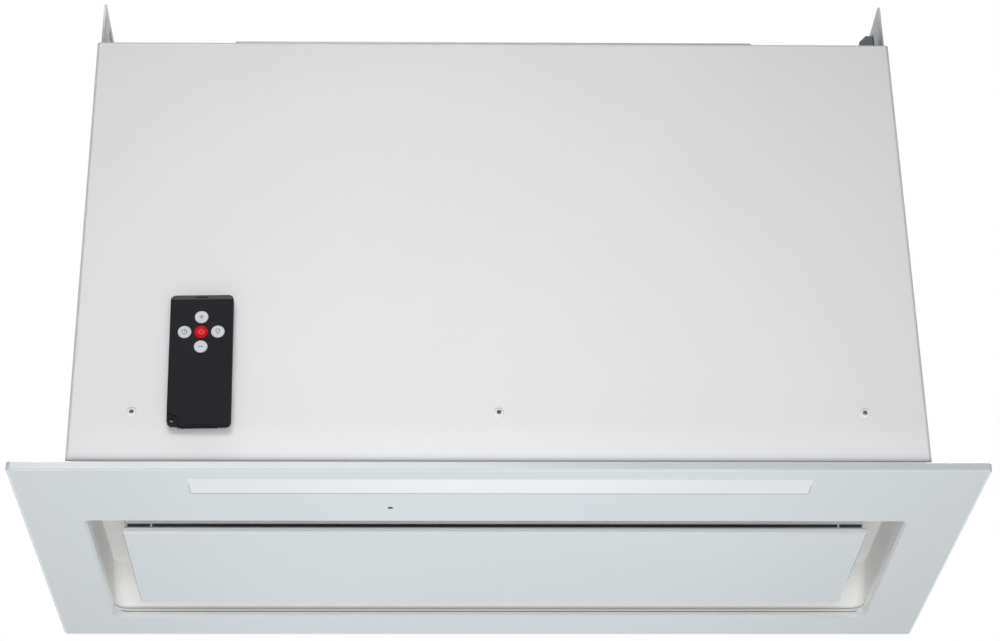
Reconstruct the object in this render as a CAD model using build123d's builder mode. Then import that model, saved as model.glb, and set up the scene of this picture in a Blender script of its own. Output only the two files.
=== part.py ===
from build123d import *
import os
from math import acos, cos, degrees, radians, sin

os.makedirs("parts", exist_ok=True)

# Built-in range hood: a white glass frame with a perimeter suction panel, a folded steel body,
# a double-inlet blower under a round outlet, and the hood's own handset lying on the front.
# Millimetres. +X is right, the front faces -Y, +Z is up.
# The origin is the middle of the glass frame's underside.

# ---------------------------------------------------------------- driving dimensions

# glass frame
glass_width = 600.0
glass_depth = 282.0
glass_thick = 6.0
glass_corner = 2.5
ground_edge = 1.0
border_front = 79.5
border_rear = 34.5
border_side = 39.5
opening_corner_front = 3.0
opening_corner_rear = 9.0
opening_bevel = 1.6
bond_thick = 1.0
bond_setback = 2.0

# steel body
sheet = 1.0
body_side_inset = 34.0
body_depth = 262.0
body_front_inset = 10.0
body_height = 311.5
body_bend = 2.6
bend_relief = 1.8
base_flange = 48.0
top_flange = 17.5
rear_flange = 14.0

# intake tray and its ceiling
tray_rise = 23.5
tray_rear_lean = 22.5
tray_foot = 13.0
filter_border_side = 14.0
filter_border_front = 10.0
filter_border_rear = 10.0

# suction panel
panel_gap_side = 20.0
panel_gap_front = 22.5
panel_thick = 5.0
panel_recess = 1.5
panel_corner = 1.5
panel_edge = 1.4
tape_thick = 2.8
tape_inset = 3.0
tape_width = 9.0
tab_from_side = 18.2
tab_width = 1.2
backing_inset = 2.0
backing_sheet = 0.8
backing_fold = 3.6
hinge_from_side = 50.5
hinge_from_rear = 6.0
hinge_rise = 12.5
hinge_pin_radius = 2.0
hinge_ear_radius = 4.5
hinge_arm_thick = 2.0
hinge_arm_length = 26.0
hinge_arm_foot = 8.0
hinge_notch_side = 7.0
hinge_notch_gap = 1.0
hinge_bracket_gap = 0.4
hinge_bracket_sheet = 1.5
catch_from_side = 20.0
catch_web_reach = 8.5
catch_from_front = 20.0
catch_magnet_radius = 5.0
catch_magnet_height = 5.0
catch_plate = 1.2
catch_gap = 0.3

# grease filters
filter_thick = 9.0
filter_rim = 9.0
filter_wall = 1.0
filter_drop = 1.0
filter_gap = 0.5
filter_lip = 4.0
filter_travel = 5.0
filter_mesh_thick = 6.8
filter_slot_rows = 6
filter_slot_columns = 11
filter_web = 5.0

# lamp and receiver
lamp_length = 386.0
lamp_width = 20.7
lamp_from_front = 14.4
diffuser_thick = 2.4
channel_height = 13.0
channel_wall = 1.4
lamp_board_width = 12.0
lamp_board_thick = 1.6
lamp_count = 18
lamp_chip = 3.5
receiver_x = -67.4
receiver_from_front = 57.7
receiver_radius = 1.7

# blower
fan_y = -24.0
fan_z = 190.0
wheel_radius = 70.0
wheel_inner_radius = 57.0
wheel_half_width = 54.0
wheel_ring = 1.5
wheel_disc = 2.0
blade_count = 34
blade_sweep = 9.0
blade_angle_thick = 1.4
hub_radius = 11.0
hub_half_length = 8.0
shaft_radius = 4.0
shaft_clearance = 0.05
scroll_wall = 2.0
scroll_half_width = 62.0
scroll_start_radius = 77.0
scroll_end_radius = 112.0
scroll_duct = 100.0
scroll_seam = 8.0
scroll_foot = 14.0
inlet_radius = 60.0
inlet_lip = 6.0
motor_radius = 42.0
motor_inner_end = -14.0
motor_outer_end = -76.0
motor_flange_radius = 49.0
bracket_sheet = 2.0
bracket_ring_radius = 75.0
bracket_arm = 14.0

# top of the body
motor_plate_side_inset = 92.5
motor_plate_thick = 1.8
motor_plate_front_gap = 0.6
motor_plate_corner = 1.5
motor_plate_rear_gap = 4.0
cutout_lip = 13.5
cutout_front = 26.0
cutout_rear = 20.0
collar_y = 38.0
collar_radius = 74.4
collar_wall = 2.0
collar_height = 38.5
collar_flange = 2.5
collar_flange_width = 168.0
collar_flange_depth = 150.0
collar_shoulder = 10.0
collar_ledge = 3.0
flap_thick = 1.2
flap_clearance = 0.8
flap_pin_radius = 1.5
flap_knuckle_radius = 3.0
flap_pin_above_ledge = 3.5
flap_root_gap = 3.6
flap_rest_gap = 0.3
knuckle_length = 19.5
knuckle_pitch = 20.0
ear_sheet = 1.6
ear_inset = 2.2
ear_length = 140.0
ear_front_gap = 3.5
ear_rise = 33.8
ear_corner = 6.0
ear_tail = 26.0
ear_slot_from_front = 29.5
ear_slot_pitch = 80.0
ear_slot_length = 16.0
ear_slot_radius = 3.25
ear_slot_from_top = 8.5

# electrical pieces
control_width = 74.0
control_depth = 118.0
control_height = 44.0
control_wall = 2.0
control_post = 7.0
control_post_side = 12.0
control_screw_inset = 7.0
control_screw_reach = 8.0
control_right_gap = 9.0
control_front_gap = 32.0
control_board_length = 68.0
control_board_gap = 15.0
control_board_rise = 5.0
control_board_thick = 1.6
capacitor_radius = 17.0
capacitor_length = 62.0
driver_width = 42.0
driver_depth = 48.0
driver_height = 22.0
driver_tab_width = 66.0
driver_tab_depth = 16.0
driver_tab_thick = 2.0
driver_tab_pitch = 56.0
driver_tab_hole = 2.2
driver_gap = 10.0
clamp_width = 10.2
clamp_depth = 15.0
clamp_height = 13.2
clamp_slope = 4.5
clamp_front_gap = 8.0
clamp_side_gap = 3.45
clamp_neck_radius = 4.6
clamp_neck_length = 13.0
cord_radius = 3.5

# handset
handset_width = 39.4
handset_height = 90.9
handset_thick = 7.0
handset_corner = 3.5
handset_from_side = 80.5
handset_z = 76.95
handset_tilt = 1.0
handset_gap = 0.3
handset_wall = 1.2
handset_rim = 2.2
handset_split = 3.7
handset_taper = 2.0
handset_end_drop = 3.6
handset_end_depth = 1.2
handset_board_thick = 0.8
key_radius = 4.2
key_pitch = 10.4
key_cross_y = 18.7
key_proud = 0.4
key_travel = 0.6
key_clearance = 0.1
key_skirt = 0.5
cell_radius = 10.0
cell_thick = 1.6
cell_clearance = 0.3
tray_width = 23.0
tray_length = 23.4
tray_thick = 2.1
tray_end_wall = 1.6
tray_clearance = 0.2
lanyard_x = -16.5
lanyard_y = -41.8
lanyard_radius = 1.5
lanyard_recess = 8.1
lanyard_recess_depth = 0.7
lanyard_notch = 6.5

# fasteners
shell_screw_from_side = 39.0
shell_screw_z = 43.5
shell_screw_y = 80.0
shell_head_radius = 3.2
shell_head_height = 1.9
shell_shank_radius = 1.95
screw_clearance = 0.05
screw_reach = 5.0
plate_head_radius = 4.0
plate_head_height = 2.6
plate_screw_radius = 2.0
plate_screw_reach = 8.0
seam_screw_radius = 1.5
seam_head_radius = 2.8
seam_head_height = 1.8
rivet_radius = 2.0
rivet_head_radius = 3.6
rivet_head_height = 1.2

# ---------------------------------------------------------------- places worked out from them

front_y = -glass_depth / 2
rear_y = glass_depth / 2
opening_width = glass_width - 2 * border_side
opening_front = front_y + border_front
opening_rear = rear_y - border_rear
body_width = glass_width - 2 * body_side_inset
body_front = front_y + body_front_inset
body_rear = body_front + body_depth
body_mid_y = (body_front + body_rear) / 2
body_foot = glass_thick + bond_thick
body_top = body_foot + body_height
inner_width = body_width - 2 * sheet
inner_front = body_front + sheet
inner_rear = body_rear - sheet
base_top = body_foot + sheet
ceiling = base_top + tray_rise
ceiling_top = ceiling + sheet
ceiling_rear = opening_rear - tray_rear_lean
filter_front = opening_front + filter_border_front
filter_rear = ceiling_rear - filter_border_rear
filter_seat_width = opening_width - 2 * filter_border_side
panel_width = opening_width - 2 * panel_gap_side
panel_depth = opening_rear - opening_front - 2 * panel_gap_front
panel_y = (opening_front + opening_rear) / 2
panel_front = panel_y - panel_depth / 2
panel_rear = panel_y + panel_depth / 2
panel_top = panel_recess + panel_thick
backing_foot = panel_top + tape_thick
backing_top = backing_foot + backing_sheet
tab_x = panel_width / 2 - tab_from_side
hinge_x = panel_width / 2 - hinge_from_side
hinge_y = panel_rear - hinge_from_rear
hinge_z = panel_recess + hinge_rise
hinge_notch_front = hinge_y - hinge_ear_radius - hinge_notch_gap
catch_x = panel_width / 2 - catch_from_side
catch_web_x = catch_x + catch_web_reach
catch_y = panel_front + catch_from_front
catch_foot = backing_top + catch_magnet_height + catch_gap
lamp_front = front_y + lamp_from_front
lamp_y = lamp_front + lamp_width / 2
receiver_y = front_y + receiver_from_front
shell_screw_x = body_width / 2 - shell_screw_from_side
motor_plate_width = body_width - 2 * motor_plate_side_inset
cutout_width = motor_plate_width - 2 * cutout_lip
plate_foot = body_top
plate_top = plate_foot + motor_plate_thick
plate_front = body_front + motor_plate_front_gap
plate_rear = body_rear - motor_plate_rear_gap
duct_front = collar_y - scroll_duct / 2
duct_rear = collar_y + scroll_duct / 2
scroll_inner_width = scroll_half_width - scroll_wall
ear_x = body_width / 2 - ear_inset
ear_front = body_front + ear_front_gap
ear_slot_y = ear_front + ear_slot_from_front + ear_slot_pitch / 2
ear_slot_z = body_top + ear_rise - ear_slot_from_top
rivet_z = body_top - top_flange / 2 - sheet
collar_top = plate_top + collar_height
ledge_top = plate_top + collar_flange + collar_shoulder + collar_ledge
flap_pin_z = ledge_top + flap_pin_above_ledge - flap_knuckle_radius + flap_thick / 2
handset_x = handset_from_side - body_width / 2
handset_back = body_front - handset_gap

fan_plane = Plane(origin=(0, fan_y, fan_z), x_dir=(0, 1, 0), z_dir=(1, 0, 0))
fan_section = Plane(origin=(0, fan_y, fan_z), x_dir=(1, 0, 0), z_dir=(0, -1, 0))
fan_axis = Axis((0, fan_y, fan_z), (1, 0, 0))
tilt = radians(handset_tilt)
handset_plane = Plane(
    origin=(handset_x, handset_back, handset_z),
    x_dir=(cos(tilt), 0, sin(tilt)),
    z_dir=(0, -1, 0),
)
handset_side = Plane(origin=handset_plane.origin, x_dir=handset_plane.y_dir, z_dir=handset_plane.x_dir)


def save(piece, label):
    piece.part.label = label
    export_step(piece.part, f"parts/{label}.step")


def side_plane(x):
    """A plane facing +X at x, whose own axes are the row's Y and Z."""
    return Plane(origin=(x, 0, 0), x_dir=(0, 1, 0), z_dir=(1, 0, 0))


def front_plane(y):
    """A plane facing -Y at y, whose own axes are the row's X and Z."""
    return Plane(origin=(0, y, 0), x_dir=(1, 0, 0), z_dir=(0, -1, 0))


def opening_outline(rear, grow=0.0):
    """The opening's outline, with its rear edge where the leaning wall has it."""
    with BuildSketch(mode=Mode.PRIVATE) as outline:
        with Locations((0, (opening_front + rear) / 2)):
            Rectangle(opening_width + 2 * grow, rear - opening_front + 2 * grow)
        fillet(outline.vertices().group_by(Axis.Y)[-1], opening_corner_rear + grow)
        fillet(outline.vertices().group_by(Axis.Y)[0], opening_corner_front + grow)
    return outline.sketch


# ---------------------------------------------------------------- glass frame

# One pane with the suction opening: ground outer edges, a wide polished bevel round the opening.
with BuildPart() as glass_frame:
    with BuildSketch():
        RectangleRounded(glass_width, glass_depth, glass_corner)
        add(opening_outline(opening_rear), mode=Mode.SUBTRACT)
        with Locations((receiver_x, receiver_y)):
            Circle(receiver_radius + shaft_clearance, mode=Mode.SUBTRACT)
    extrude(amount=glass_thick)
    underside = glass_frame.faces().sort_by(Axis.Z)[0]
    upperside = glass_frame.faces().sort_by(Axis.Z)[-1]
    opening_wire = underside.inner_wires().sort_by(SortBy.LENGTH)[-1]
    chamfer(upperside.outer_wire().edges(), ground_edge)
    chamfer(opening_wire.edges(), opening_bevel)
    underside = glass_frame.faces().sort_by(Axis.Z)[0]
    chamfer(underside.outer_wire().edges(), ground_edge)
save(glass_frame, "glass_frame")

# The bonding layer leaves the lamp's window, the receiver and the opening free.
lamp_slot_length = lamp_length + 12.0
lamp_slot_rear = lamp_y + lamp_width / 2 + 3.0
with BuildPart() as glass_bond:
    with BuildSketch(Plane.XY.offset(glass_thick)):
        with Locations((0, body_mid_y)):
            Rectangle(inner_width - bond_setback, body_depth - 2 * bond_setback)
        add(opening_outline(opening_rear, bond_setback / 2), mode=Mode.SUBTRACT)
        with Locations((0, (body_front + lamp_slot_rear) / 2)):
            Rectangle(lamp_slot_length, lamp_slot_rear - body_front, mode=Mode.SUBTRACT)
        with Locations((receiver_x, receiver_y)):
            Circle(3 * receiver_radius, mode=Mode.SUBTRACT)
    extrude(amount=bond_thick)
save(glass_bond, "glass_bond")

with BuildPart() as ir_lens:
    with BuildSketch(Plane.XY.offset(ground_edge / 2)):
        with Locations((receiver_x, receiver_y)):
            Circle(receiver_radius)
    extrude(amount=glass_thick - ground_edge / 2)
save(ir_lens, "ir_lens")

# The receiver's little board stands on the lens, its domed eye looking down.
receiver_board = 1.6
receiver_eye = 2.6
with BuildPart() as ir_receiver:
    with BuildSketch(Plane.XY.offset(base_top)):
        with Locations((receiver_x, receiver_y)):
            Rectangle(22, 15)
            with GridLocations(16, 9, 2, 2):
                Circle(1.2, mode=Mode.SUBTRACT)
    extrude(amount=receiver_board)
    with BuildSketch(Plane.XY.offset(base_top)):
        with Locations((receiver_x, receiver_y)):
            Circle(receiver_eye)
    extrude(amount=glass_thick - base_top + shaft_clearance)
    chamfer(ir_receiver.edges().filter_by(GeomType.CIRCLE).sort_by(Axis.Z)[0], 0.8)
    with BuildSketch(Plane.XY.offset(base_top + receiver_board)):
        with Locations((receiver_x + 6, receiver_y)):
            Rectangle(6, 9)
    extrude(amount=5)
save(ir_receiver, "ir_receiver")

# ---------------------------------------------------------------- steel body

screw_hole = shell_shank_radius + screw_clearance
front_screw_places = [(x, shell_screw_z) for x in (-shell_screw_x, 0, shell_screw_x)]
side_screw_places = [(y, shell_screw_z) for y in (-shell_screw_y, shell_screw_y)]


def hole_tools(plane, places, radius):
    """Round holes at the places on a plane, ready to be cut through a part."""
    with BuildSketch(plane, mode=Mode.PRIVATE) as holes:
        with Locations(*places):
            Circle(radius)
    return holes.sketch


front_holes = hole_tools(front_plane(0), front_screw_places, screw_hole)
side_holes = hole_tools(side_plane(0), side_screw_places, screw_hole)
rivet_places = [(ear_front + ear_length / 2 + step * (ear_length / 2 - 12), rivet_z) for step in (-1, 0, 1)]
rivet_holes = hole_tools(side_plane(0), rivet_places, rivet_radius + screw_clearance)


# The base frame is bonded to the glass. Its upstands take the screws of the outer shell.
with BuildPart() as base_frame:
    with BuildSketch(Plane.XY.offset(body_foot)):
        with Locations((0, body_mid_y)):
            Rectangle(inner_width, body_depth - 2 * sheet)
    extrude(amount=sheet + base_flange)
    chamfer(base_frame.edges().filter_by(Axis.Z).group_by(Axis.Y)[0], bend_relief)
    with BuildSketch(Plane.XY.offset(base_top)):
        with Locations((0, body_mid_y)):
            Rectangle(inner_width - 2 * sheet, body_depth - 4 * sheet)
    extrude(amount=base_flange, mode=Mode.SUBTRACT)
    with BuildSketch(Plane.XY.offset(body_foot)):
        add(opening_outline(opening_rear))
        with Locations((0, (inner_front + sheet + lamp_slot_rear) / 2)):
            Rectangle(lamp_slot_length, lamp_slot_rear - inner_front - sheet)
        with Locations((receiver_x, receiver_y)):
            Circle(receiver_eye + 1.5)
    extrude(amount=sheet, mode=Mode.SUBTRACT)
    extrude(front_holes, amount=body_depth, both=True, mode=Mode.SUBTRACT)
    extrude(side_holes, amount=body_width, both=True, mode=Mode.SUBTRACT)
save(base_frame, "base_frame")

# The intake tray: upright front and sides, a leaning rear wall, and a ceiling cut out for the filters.
tray_lean_per_mm = tray_rear_lean / tray_rise
with BuildPart() as intake_tray:
    with BuildSketch(Plane.XY.offset(base_top)):
        add(opening_outline(opening_rear, sheet))
    with BuildSketch(Plane.XY.offset(ceiling_top)):
        add(opening_outline(ceiling_rear - sheet * tray_lean_per_mm, sheet))
    loft(ruled=True)
    with BuildSketch(Plane.XY.offset(base_top)):
        with Locations((0, (opening_front + opening_rear) / 2)):
            Rectangle(inner_width - 2.4 * sheet, opening_rear - opening_front + 2 * tray_foot)
    extrude(amount=sheet)
    with BuildSketch(Plane.XY.offset(base_top)):
        add(opening_outline(opening_rear))
    with BuildSketch(Plane.XY.offset(ceiling)):
        add(opening_outline(ceiling_rear))
    loft(ruled=True, mode=Mode.SUBTRACT)
    with BuildSketch(Plane.XY.offset(ceiling)):
        with Locations((0, (filter_front + filter_rear) / 2)):
            RectangleRounded(filter_seat_width, filter_rear - filter_front, 2)
    extrude(amount=sheet, mode=Mode.SUBTRACT)
save(intake_tray, "intake_tray")

# Front and both sides are one sheet, bent at the two upright edges.
with BuildPart() as body_wrap:
    with BuildSketch(Plane.XY.offset(body_foot)) as wrap_plan:
        with Locations((0, body_mid_y)):
            Rectangle(body_width, body_depth)
        fillet(wrap_plan.vertices().group_by(Axis.Y)[0], body_bend)
    extrude(amount=body_height)
    with BuildSketch(Plane.XY.offset(body_foot)) as wrap_inside:
        with Locations((0, body_mid_y)):
            Rectangle(inner_width, body_depth - 2 * sheet)
        fillet(wrap_inside.vertices().group_by(Axis.Y)[0], body_bend - sheet)
        with Locations((0, body_rear - sheet)):
            Rectangle(inner_width, 2 * sheet)
    extrude(amount=body_height, mode=Mode.SUBTRACT)
    extrude(front_holes, amount=body_depth, mode=Mode.SUBTRACT)
    extrude(side_holes, amount=body_width, both=True, mode=Mode.SUBTRACT)
    extrude(rivet_holes, amount=body_width, both=True, mode=Mode.SUBTRACT)
save(body_wrap, "body_wrap")

# The rear panel stands between the wrap's sides, with a folded edge against each.
rear_panel_foot = base_top + base_flange + 1.0
with BuildPart() as rear_panel:
    with BuildSketch(Plane.XY.offset(body_foot)):
        with Locations((0, body_rear - sheet / 2)):
            Rectangle(inner_width, sheet)
    extrude(amount=body_height)
    for side in (-1, 1):
        with BuildSketch(Plane.XY.offset(rear_panel_foot)):
            with Locations((side * (inner_width - sheet) / 2, inner_rear - rear_flange / 2)):
                Rectangle(sheet, rear_flange)
        extrude(amount=body_top - top_flange - 2 * sheet - rear_panel_foot)
    extrude(front_holes, amount=-body_depth, mode=Mode.SUBTRACT)
save(rear_panel, "rear_panel")

plate_screw_x = motor_plate_width / 2 - 7.0
plate_screw_y = (plate_front + 9.0, body_mid_y, plate_rear - 9.0)
plate_screw_places = [(side * plate_screw_x, y) for side in (-1, 1) for y in plate_screw_y]

# The top panel is a shallow lid between the walls, cut out for the blower, the ears and the cord.
clamp_x = ear_x - ear_sheet - clamp_side_gap - clamp_width / 2
clamp_y = body_front + clamp_front_gap + clamp_depth / 2
cutout_front_y = body_front + cutout_front
cutout_rear_y = body_rear - cutout_rear
with BuildPart() as top_panel:
    with BuildSketch(Plane.XY.offset(body_top)):
        with Locations((0, body_mid_y)):
            Rectangle(inner_width, body_depth - 2 * sheet)
    extrude(amount=-sheet - top_flange)
    chamfer(top_panel.edges().filter_by(Axis.Z).group_by(Axis.Y)[0], bend_relief)
    with BuildSketch(Plane.XY.offset(body_top - sheet)):
        with Locations((0, body_mid_y)):
            Rectangle(inner_width - 2 * sheet, body_depth - 4 * sheet)
    extrude(amount=-top_flange, mode=Mode.SUBTRACT)
    with BuildSketch(Plane.XY.offset(body_top - sheet)):
        with Locations((0, (cutout_front_y + cutout_rear_y) / 2)):
            RectangleRounded(cutout_width, cutout_rear_y - cutout_front_y, 6)
        with Locations((clamp_x, clamp_y)):
            Circle(clamp_neck_radius + screw_clearance)
        with Locations(*plate_screw_places):
            Circle(plate_screw_radius + screw_clearance)
        for side in (-1, 1):
            with Locations((side * (ear_x - ear_sheet / 2), ear_front + ear_length / 2)):
                Rectangle(ear_sheet, ear_length + 1.0)
    extrude(amount=sheet, mode=Mode.SUBTRACT)
    extrude(rivet_holes, amount=body_width, both=True, mode=Mode.SUBTRACT)
save(top_panel, "top_panel")


def build_ear(side):
    """A hanging plate that stands up through the top panel, with two slots for the cabinet screws."""
    outer = side * ear_x
    with BuildPart() as ear:
        with BuildSketch(side_plane(outer)) as blank:
            with Locations((ear_front + ear_length / 2, body_top + (ear_rise - ear_tail) / 2)):
                Rectangle(ear_length, ear_rise + ear_tail)
            fillet(blank.vertices().group_by(Axis.Y)[-1].sort_by(Axis.X)[-1], ear_corner)
            with Locations((ear_slot_y, ear_slot_z)):
                with GridLocations(ear_slot_pitch, 1, 2, 1):
                    SlotOverall(ear_slot_length, 2 * ear_slot_radius, mode=Mode.SUBTRACT)
            with Locations(*rivet_places):
                Circle(rivet_radius + screw_clearance, mode=Mode.SUBTRACT)
        extrude(amount=-side * ear_sheet)
    return ear


save(build_ear(-1), "left_ear")
save(build_ear(1), "right_ear")

# Rivets go through the wrap, the top panel's edge and the ear.
rivet_grip = ear_inset + ear_sheet
with BuildPart() as ear_rivets:
    for side in (-1, 1):
        head_face = side_plane(side * body_width / 2)
        tail_face = side_plane(side * (ear_x - ear_sheet))
        for face, radius, reach in (
            (head_face, rivet_radius, -side * rivet_grip),
            (head_face, rivet_head_radius, side * rivet_head_height),
            (tail_face, rivet_head_radius, -side * rivet_head_height),
        ):
            with BuildSketch(face):
                with Locations(*rivet_places):
                    Circle(radius)
            extrude(amount=reach)
save(ear_rivets, "ear_rivets")


def screw(plane, places, head_radius, head_height, shank_radius, reach):
    """Screws whose heads stand on the plane and whose shanks go down through it."""
    extrude(hole_tools(plane, places, head_radius), amount=head_height)
    extrude(hole_tools(plane, places, shank_radius), amount=-reach)


with BuildPart() as shell_screws:
    rear_face = Plane(origin=(0, body_rear, 0), x_dir=(1, 0, 0), z_dir=(0, 1, 0))
    left_face = Plane(origin=(-body_width / 2, 0, 0), x_dir=(0, 1, 0), z_dir=(-1, 0, 0))
    rear_places = [(x, -z) for x, z in front_screw_places]
    left_places = [(y, -z) for y, z in side_screw_places]
    for face, places in (
        (front_plane(body_front), front_screw_places),
        (rear_face, rear_places),
        (side_plane(body_width / 2), side_screw_places),
        (left_face, left_places),
    ):
        screw(face, places, shell_head_radius, shell_head_height, shell_shank_radius, screw_reach)
    heads = shell_screws.edges().filter_by(GeomType.CIRCLE)
    rims = [e for e in heads if abs(e.radius - shell_head_radius) < 0.01]
    outer_rims = [
        e for e in rims
        if abs(e.arc_center.Y - body_front) > 1 and abs(e.arc_center.Y - body_rear) > 1
        and abs(abs(e.arc_center.X) - body_width / 2) > 1
    ]
    chamfer(outer_rims, shell_head_height * 0.45)
save(shell_screws, "shell_screws")

# ---------------------------------------------------------------- lamp

with BuildPart() as led_diffuser:
    with BuildSketch(Plane.XY.offset(glass_thick + 0.2)):
        with Locations((0, lamp_y)):
            RectangleRounded(lamp_length + 1, lamp_width + 1, 1)
    extrude(amount=diffuser_thick)
save(led_diffuser, "led_diffuser")

# A U-shaped aluminium channel over the diffuser, closed at both ends.
channel_foot = glass_thick + 0.2
channel_length = lamp_length + 1 + 2 * channel_wall + 0.4
channel_width = lamp_width + 1 + 2 * channel_wall + 0.4
with BuildPart() as led_channel:
    with BuildSketch(Plane.XY.offset(channel_foot)):
        with Locations((0, lamp_y)):
            Rectangle(channel_length, channel_width)
    extrude(amount=channel_height)
    with BuildSketch(Plane.XY.offset(channel_foot)):
        with Locations((0, lamp_y)):
            Rectangle(channel_length - 2 * channel_wall, channel_width - 2 * channel_wall)
    extrude(amount=channel_height - channel_wall, mode=Mode.SUBTRACT)
    chamfer(led_channel.faces().sort_by(Axis.Z)[-1].edges(), 0.6)
save(led_channel, "led_channel")

board_foot = channel_foot + channel_height - channel_wall - lamp_board_thick
with BuildPart() as led_board:
    with BuildSketch(Plane.XY.offset(board_foot)):
        with Locations((0, lamp_y)):
            Rectangle(lamp_length - 4, lamp_board_width)
    extrude(amount=lamp_board_thick)
    with BuildSketch(Plane.XY.offset(board_foot)):
        with Locations((0, lamp_y)):
            with GridLocations((lamp_length - 24) / (lamp_count - 1), 1, lamp_count, 1):
                Rectangle(lamp_chip, lamp_chip)
    extrude(amount=-0.8)
save(led_board, "led_board")

# ---------------------------------------------------------------- suction panel

with BuildPart() as panel_glass:
    with BuildSketch(Plane.XY.offset(panel_recess)):
        with Locations((0, panel_y)):
            RectangleRounded(panel_width, panel_depth, panel_corner)
    extrude(amount=panel_thick)
    chamfer(panel_glass.faces().sort_by(Axis.Z)[0].edges(), panel_edge)
    chamfer(panel_glass.faces().sort_by(Axis.Z)[-1].edges(), panel_edge)
save(panel_glass, "panel_glass")

backing_width = panel_width - 2 * backing_inset
backing_depth = panel_depth - 2 * backing_inset
hinge_notch_width = hinge_arm_thick + 2 * hinge_notch_side

# Strips of black foam tape bond the pane to its carrier. The carrier's tabs and hinge notches part them.
with BuildPart() as panel_tape:
    with BuildSketch(Plane.XY.offset(panel_top)):
        with Locations((0, panel_y)):
            Rectangle(panel_width - 2 * tape_inset, panel_depth - 2 * tape_inset)
            Rectangle(
                panel_width - 2 * (tape_inset + tape_width),
                panel_depth - 2 * (tape_inset + tape_width),
                mode=Mode.SUBTRACT,
            )
        with Locations((-tab_x, panel_front), (tab_x, panel_front)):
            Rectangle(tab_width + 0.2, 3 * (tape_inset + tape_width), mode=Mode.SUBTRACT)
        with Locations((-hinge_x, panel_rear), (hinge_x, panel_rear)):
            Rectangle(hinge_notch_width, 3 * (tape_inset + tape_width), mode=Mode.SUBTRACT)
    extrude(amount=tape_thick)
save(panel_tape, "panel_tape")

# The carrier is a shallow folded tray. Two small tabs at its front keep the tape's thickness.
with BuildPart() as panel_backing:
    with BuildSketch(Plane.XY.offset(backing_foot)):
        with Locations((0, panel_y)):
            Rectangle(backing_width, backing_depth)
    extrude(amount=backing_sheet + backing_fold)
    with BuildSketch(Plane.XY.offset(backing_top)):
        with Locations((0, panel_y)):
            Rectangle(backing_width - 2 * backing_sheet, backing_depth - 2 * backing_sheet)
    extrude(amount=backing_fold, mode=Mode.SUBTRACT)
    with BuildSketch(Plane.XY.offset(backing_foot)):
        notch_depth = panel_rear - hinge_notch_front
        with Locations((-hinge_x, panel_rear - notch_depth / 2), (hinge_x, panel_rear - notch_depth / 2)):
            Rectangle(hinge_notch_width, notch_depth)
    extrude(amount=backing_sheet + backing_fold, mode=Mode.SUBTRACT)
    with BuildSketch(Plane.XY.offset(backing_foot)):
        tab_y = panel_front + tape_inset + tape_width / 2
        with Locations((-tab_x, tab_y), (tab_x, tab_y)):
            Rectangle(tab_width, tape_width)
    extrude(amount=-tape_thick)
save(panel_backing, "panel_backing")

# Each hinge arm is an angle: a foot on the backing and an upright that carries the pin's eye.
arm_front = hinge_y - hinge_arm_length
arm_foot_rear = hinge_notch_front
with BuildPart() as hinge_arms:
    for side in (-1, 1):
        inner = side * hinge_x - hinge_arm_thick / 2
        with BuildSketch(side_plane(inner)):
            with BuildLine():
                Polyline(
                    (arm_front, backing_top),
                    (arm_foot_rear, backing_top),
                    (hinge_y + hinge_ear_radius, hinge_z),
                    (hinge_y, hinge_z + hinge_ear_radius),
                    (arm_front, backing_top + backing_sheet),
                    (arm_front, backing_top),
                )
            make_face()
            with Locations((hinge_y, hinge_z)):
                Circle(hinge_ear_radius)
                Circle(hinge_pin_radius + shaft_clearance, mode=Mode.SUBTRACT)
        extrude(amount=hinge_arm_thick)
        with BuildSketch(Plane.XY.offset(backing_top)):
            with Locations((side * (hinge_x - hinge_arm_foot / 2), (arm_front + arm_foot_rear) / 2)):
                Rectangle(hinge_arm_foot, arm_foot_rear - arm_front - hinge_arm_thick)
        extrude(amount=hinge_arm_thick * 0.6)
save(hinge_arms, "hinge_arms")

# A U of sheet under the ceiling's rear strip holds each pin.
bracket_inner = hinge_arm_thick / 2 + hinge_bracket_gap
bracket_outer = bracket_inner + hinge_bracket_sheet
bracket_front = filter_rear + 0.8
bracket_rear = ceiling_rear - 0.8
with BuildPart() as hinge_brackets:
    for side in (-1, 1):
        for cheek in (-1, 1):
            face = side * hinge_x + cheek * (bracket_inner if cheek > 0 else bracket_outer)
            with BuildSketch(side_plane(face)):
                with BuildLine():
                    Polyline(
                        (bracket_front, ceiling),
                        (hinge_y - hinge_ear_radius, hinge_z),
                        (hinge_y + hinge_ear_radius, hinge_z),
                        (bracket_rear, ceiling),
                        (bracket_front, ceiling),
                    )
                make_face()
                with Locations((hinge_y, hinge_z)):
                    Circle(hinge_ear_radius)
                    Circle(hinge_pin_radius + shaft_clearance, mode=Mode.SUBTRACT)
            extrude(amount=hinge_bracket_sheet)
        with BuildSketch(Plane.XY.offset(ceiling - hinge_bracket_sheet)):
            with Locations((side * hinge_x, (bracket_front + bracket_rear) / 2)):
                Rectangle(2 * bracket_outer, bracket_rear - bracket_front)
        extrude(amount=hinge_bracket_sheet)
save(hinge_brackets, "hinge_brackets")

pin_half = bracket_outer + 1.2
with BuildPart() as hinge_pins:
    for side in (-1, 1):
        with BuildSketch(side_plane(side * hinge_x - pin_half)):
            with Locations((hinge_y, hinge_z)):
                Circle(hinge_pin_radius)
        extrude(amount=2 * pin_half)
save(hinge_pins, "hinge_pins")

with BuildPart() as catch_magnets:
    with BuildSketch(Plane.XY.offset(backing_top)):
        with Locations((-catch_x, catch_y), (catch_x, catch_y)):
            Circle(catch_magnet_radius)
    extrude(amount=catch_magnet_height)
    chamfer(catch_magnets.faces().sort_by(Axis.Z)[-2:].edges(), 0.5)
save(catch_magnets, "catch_magnets")

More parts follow.
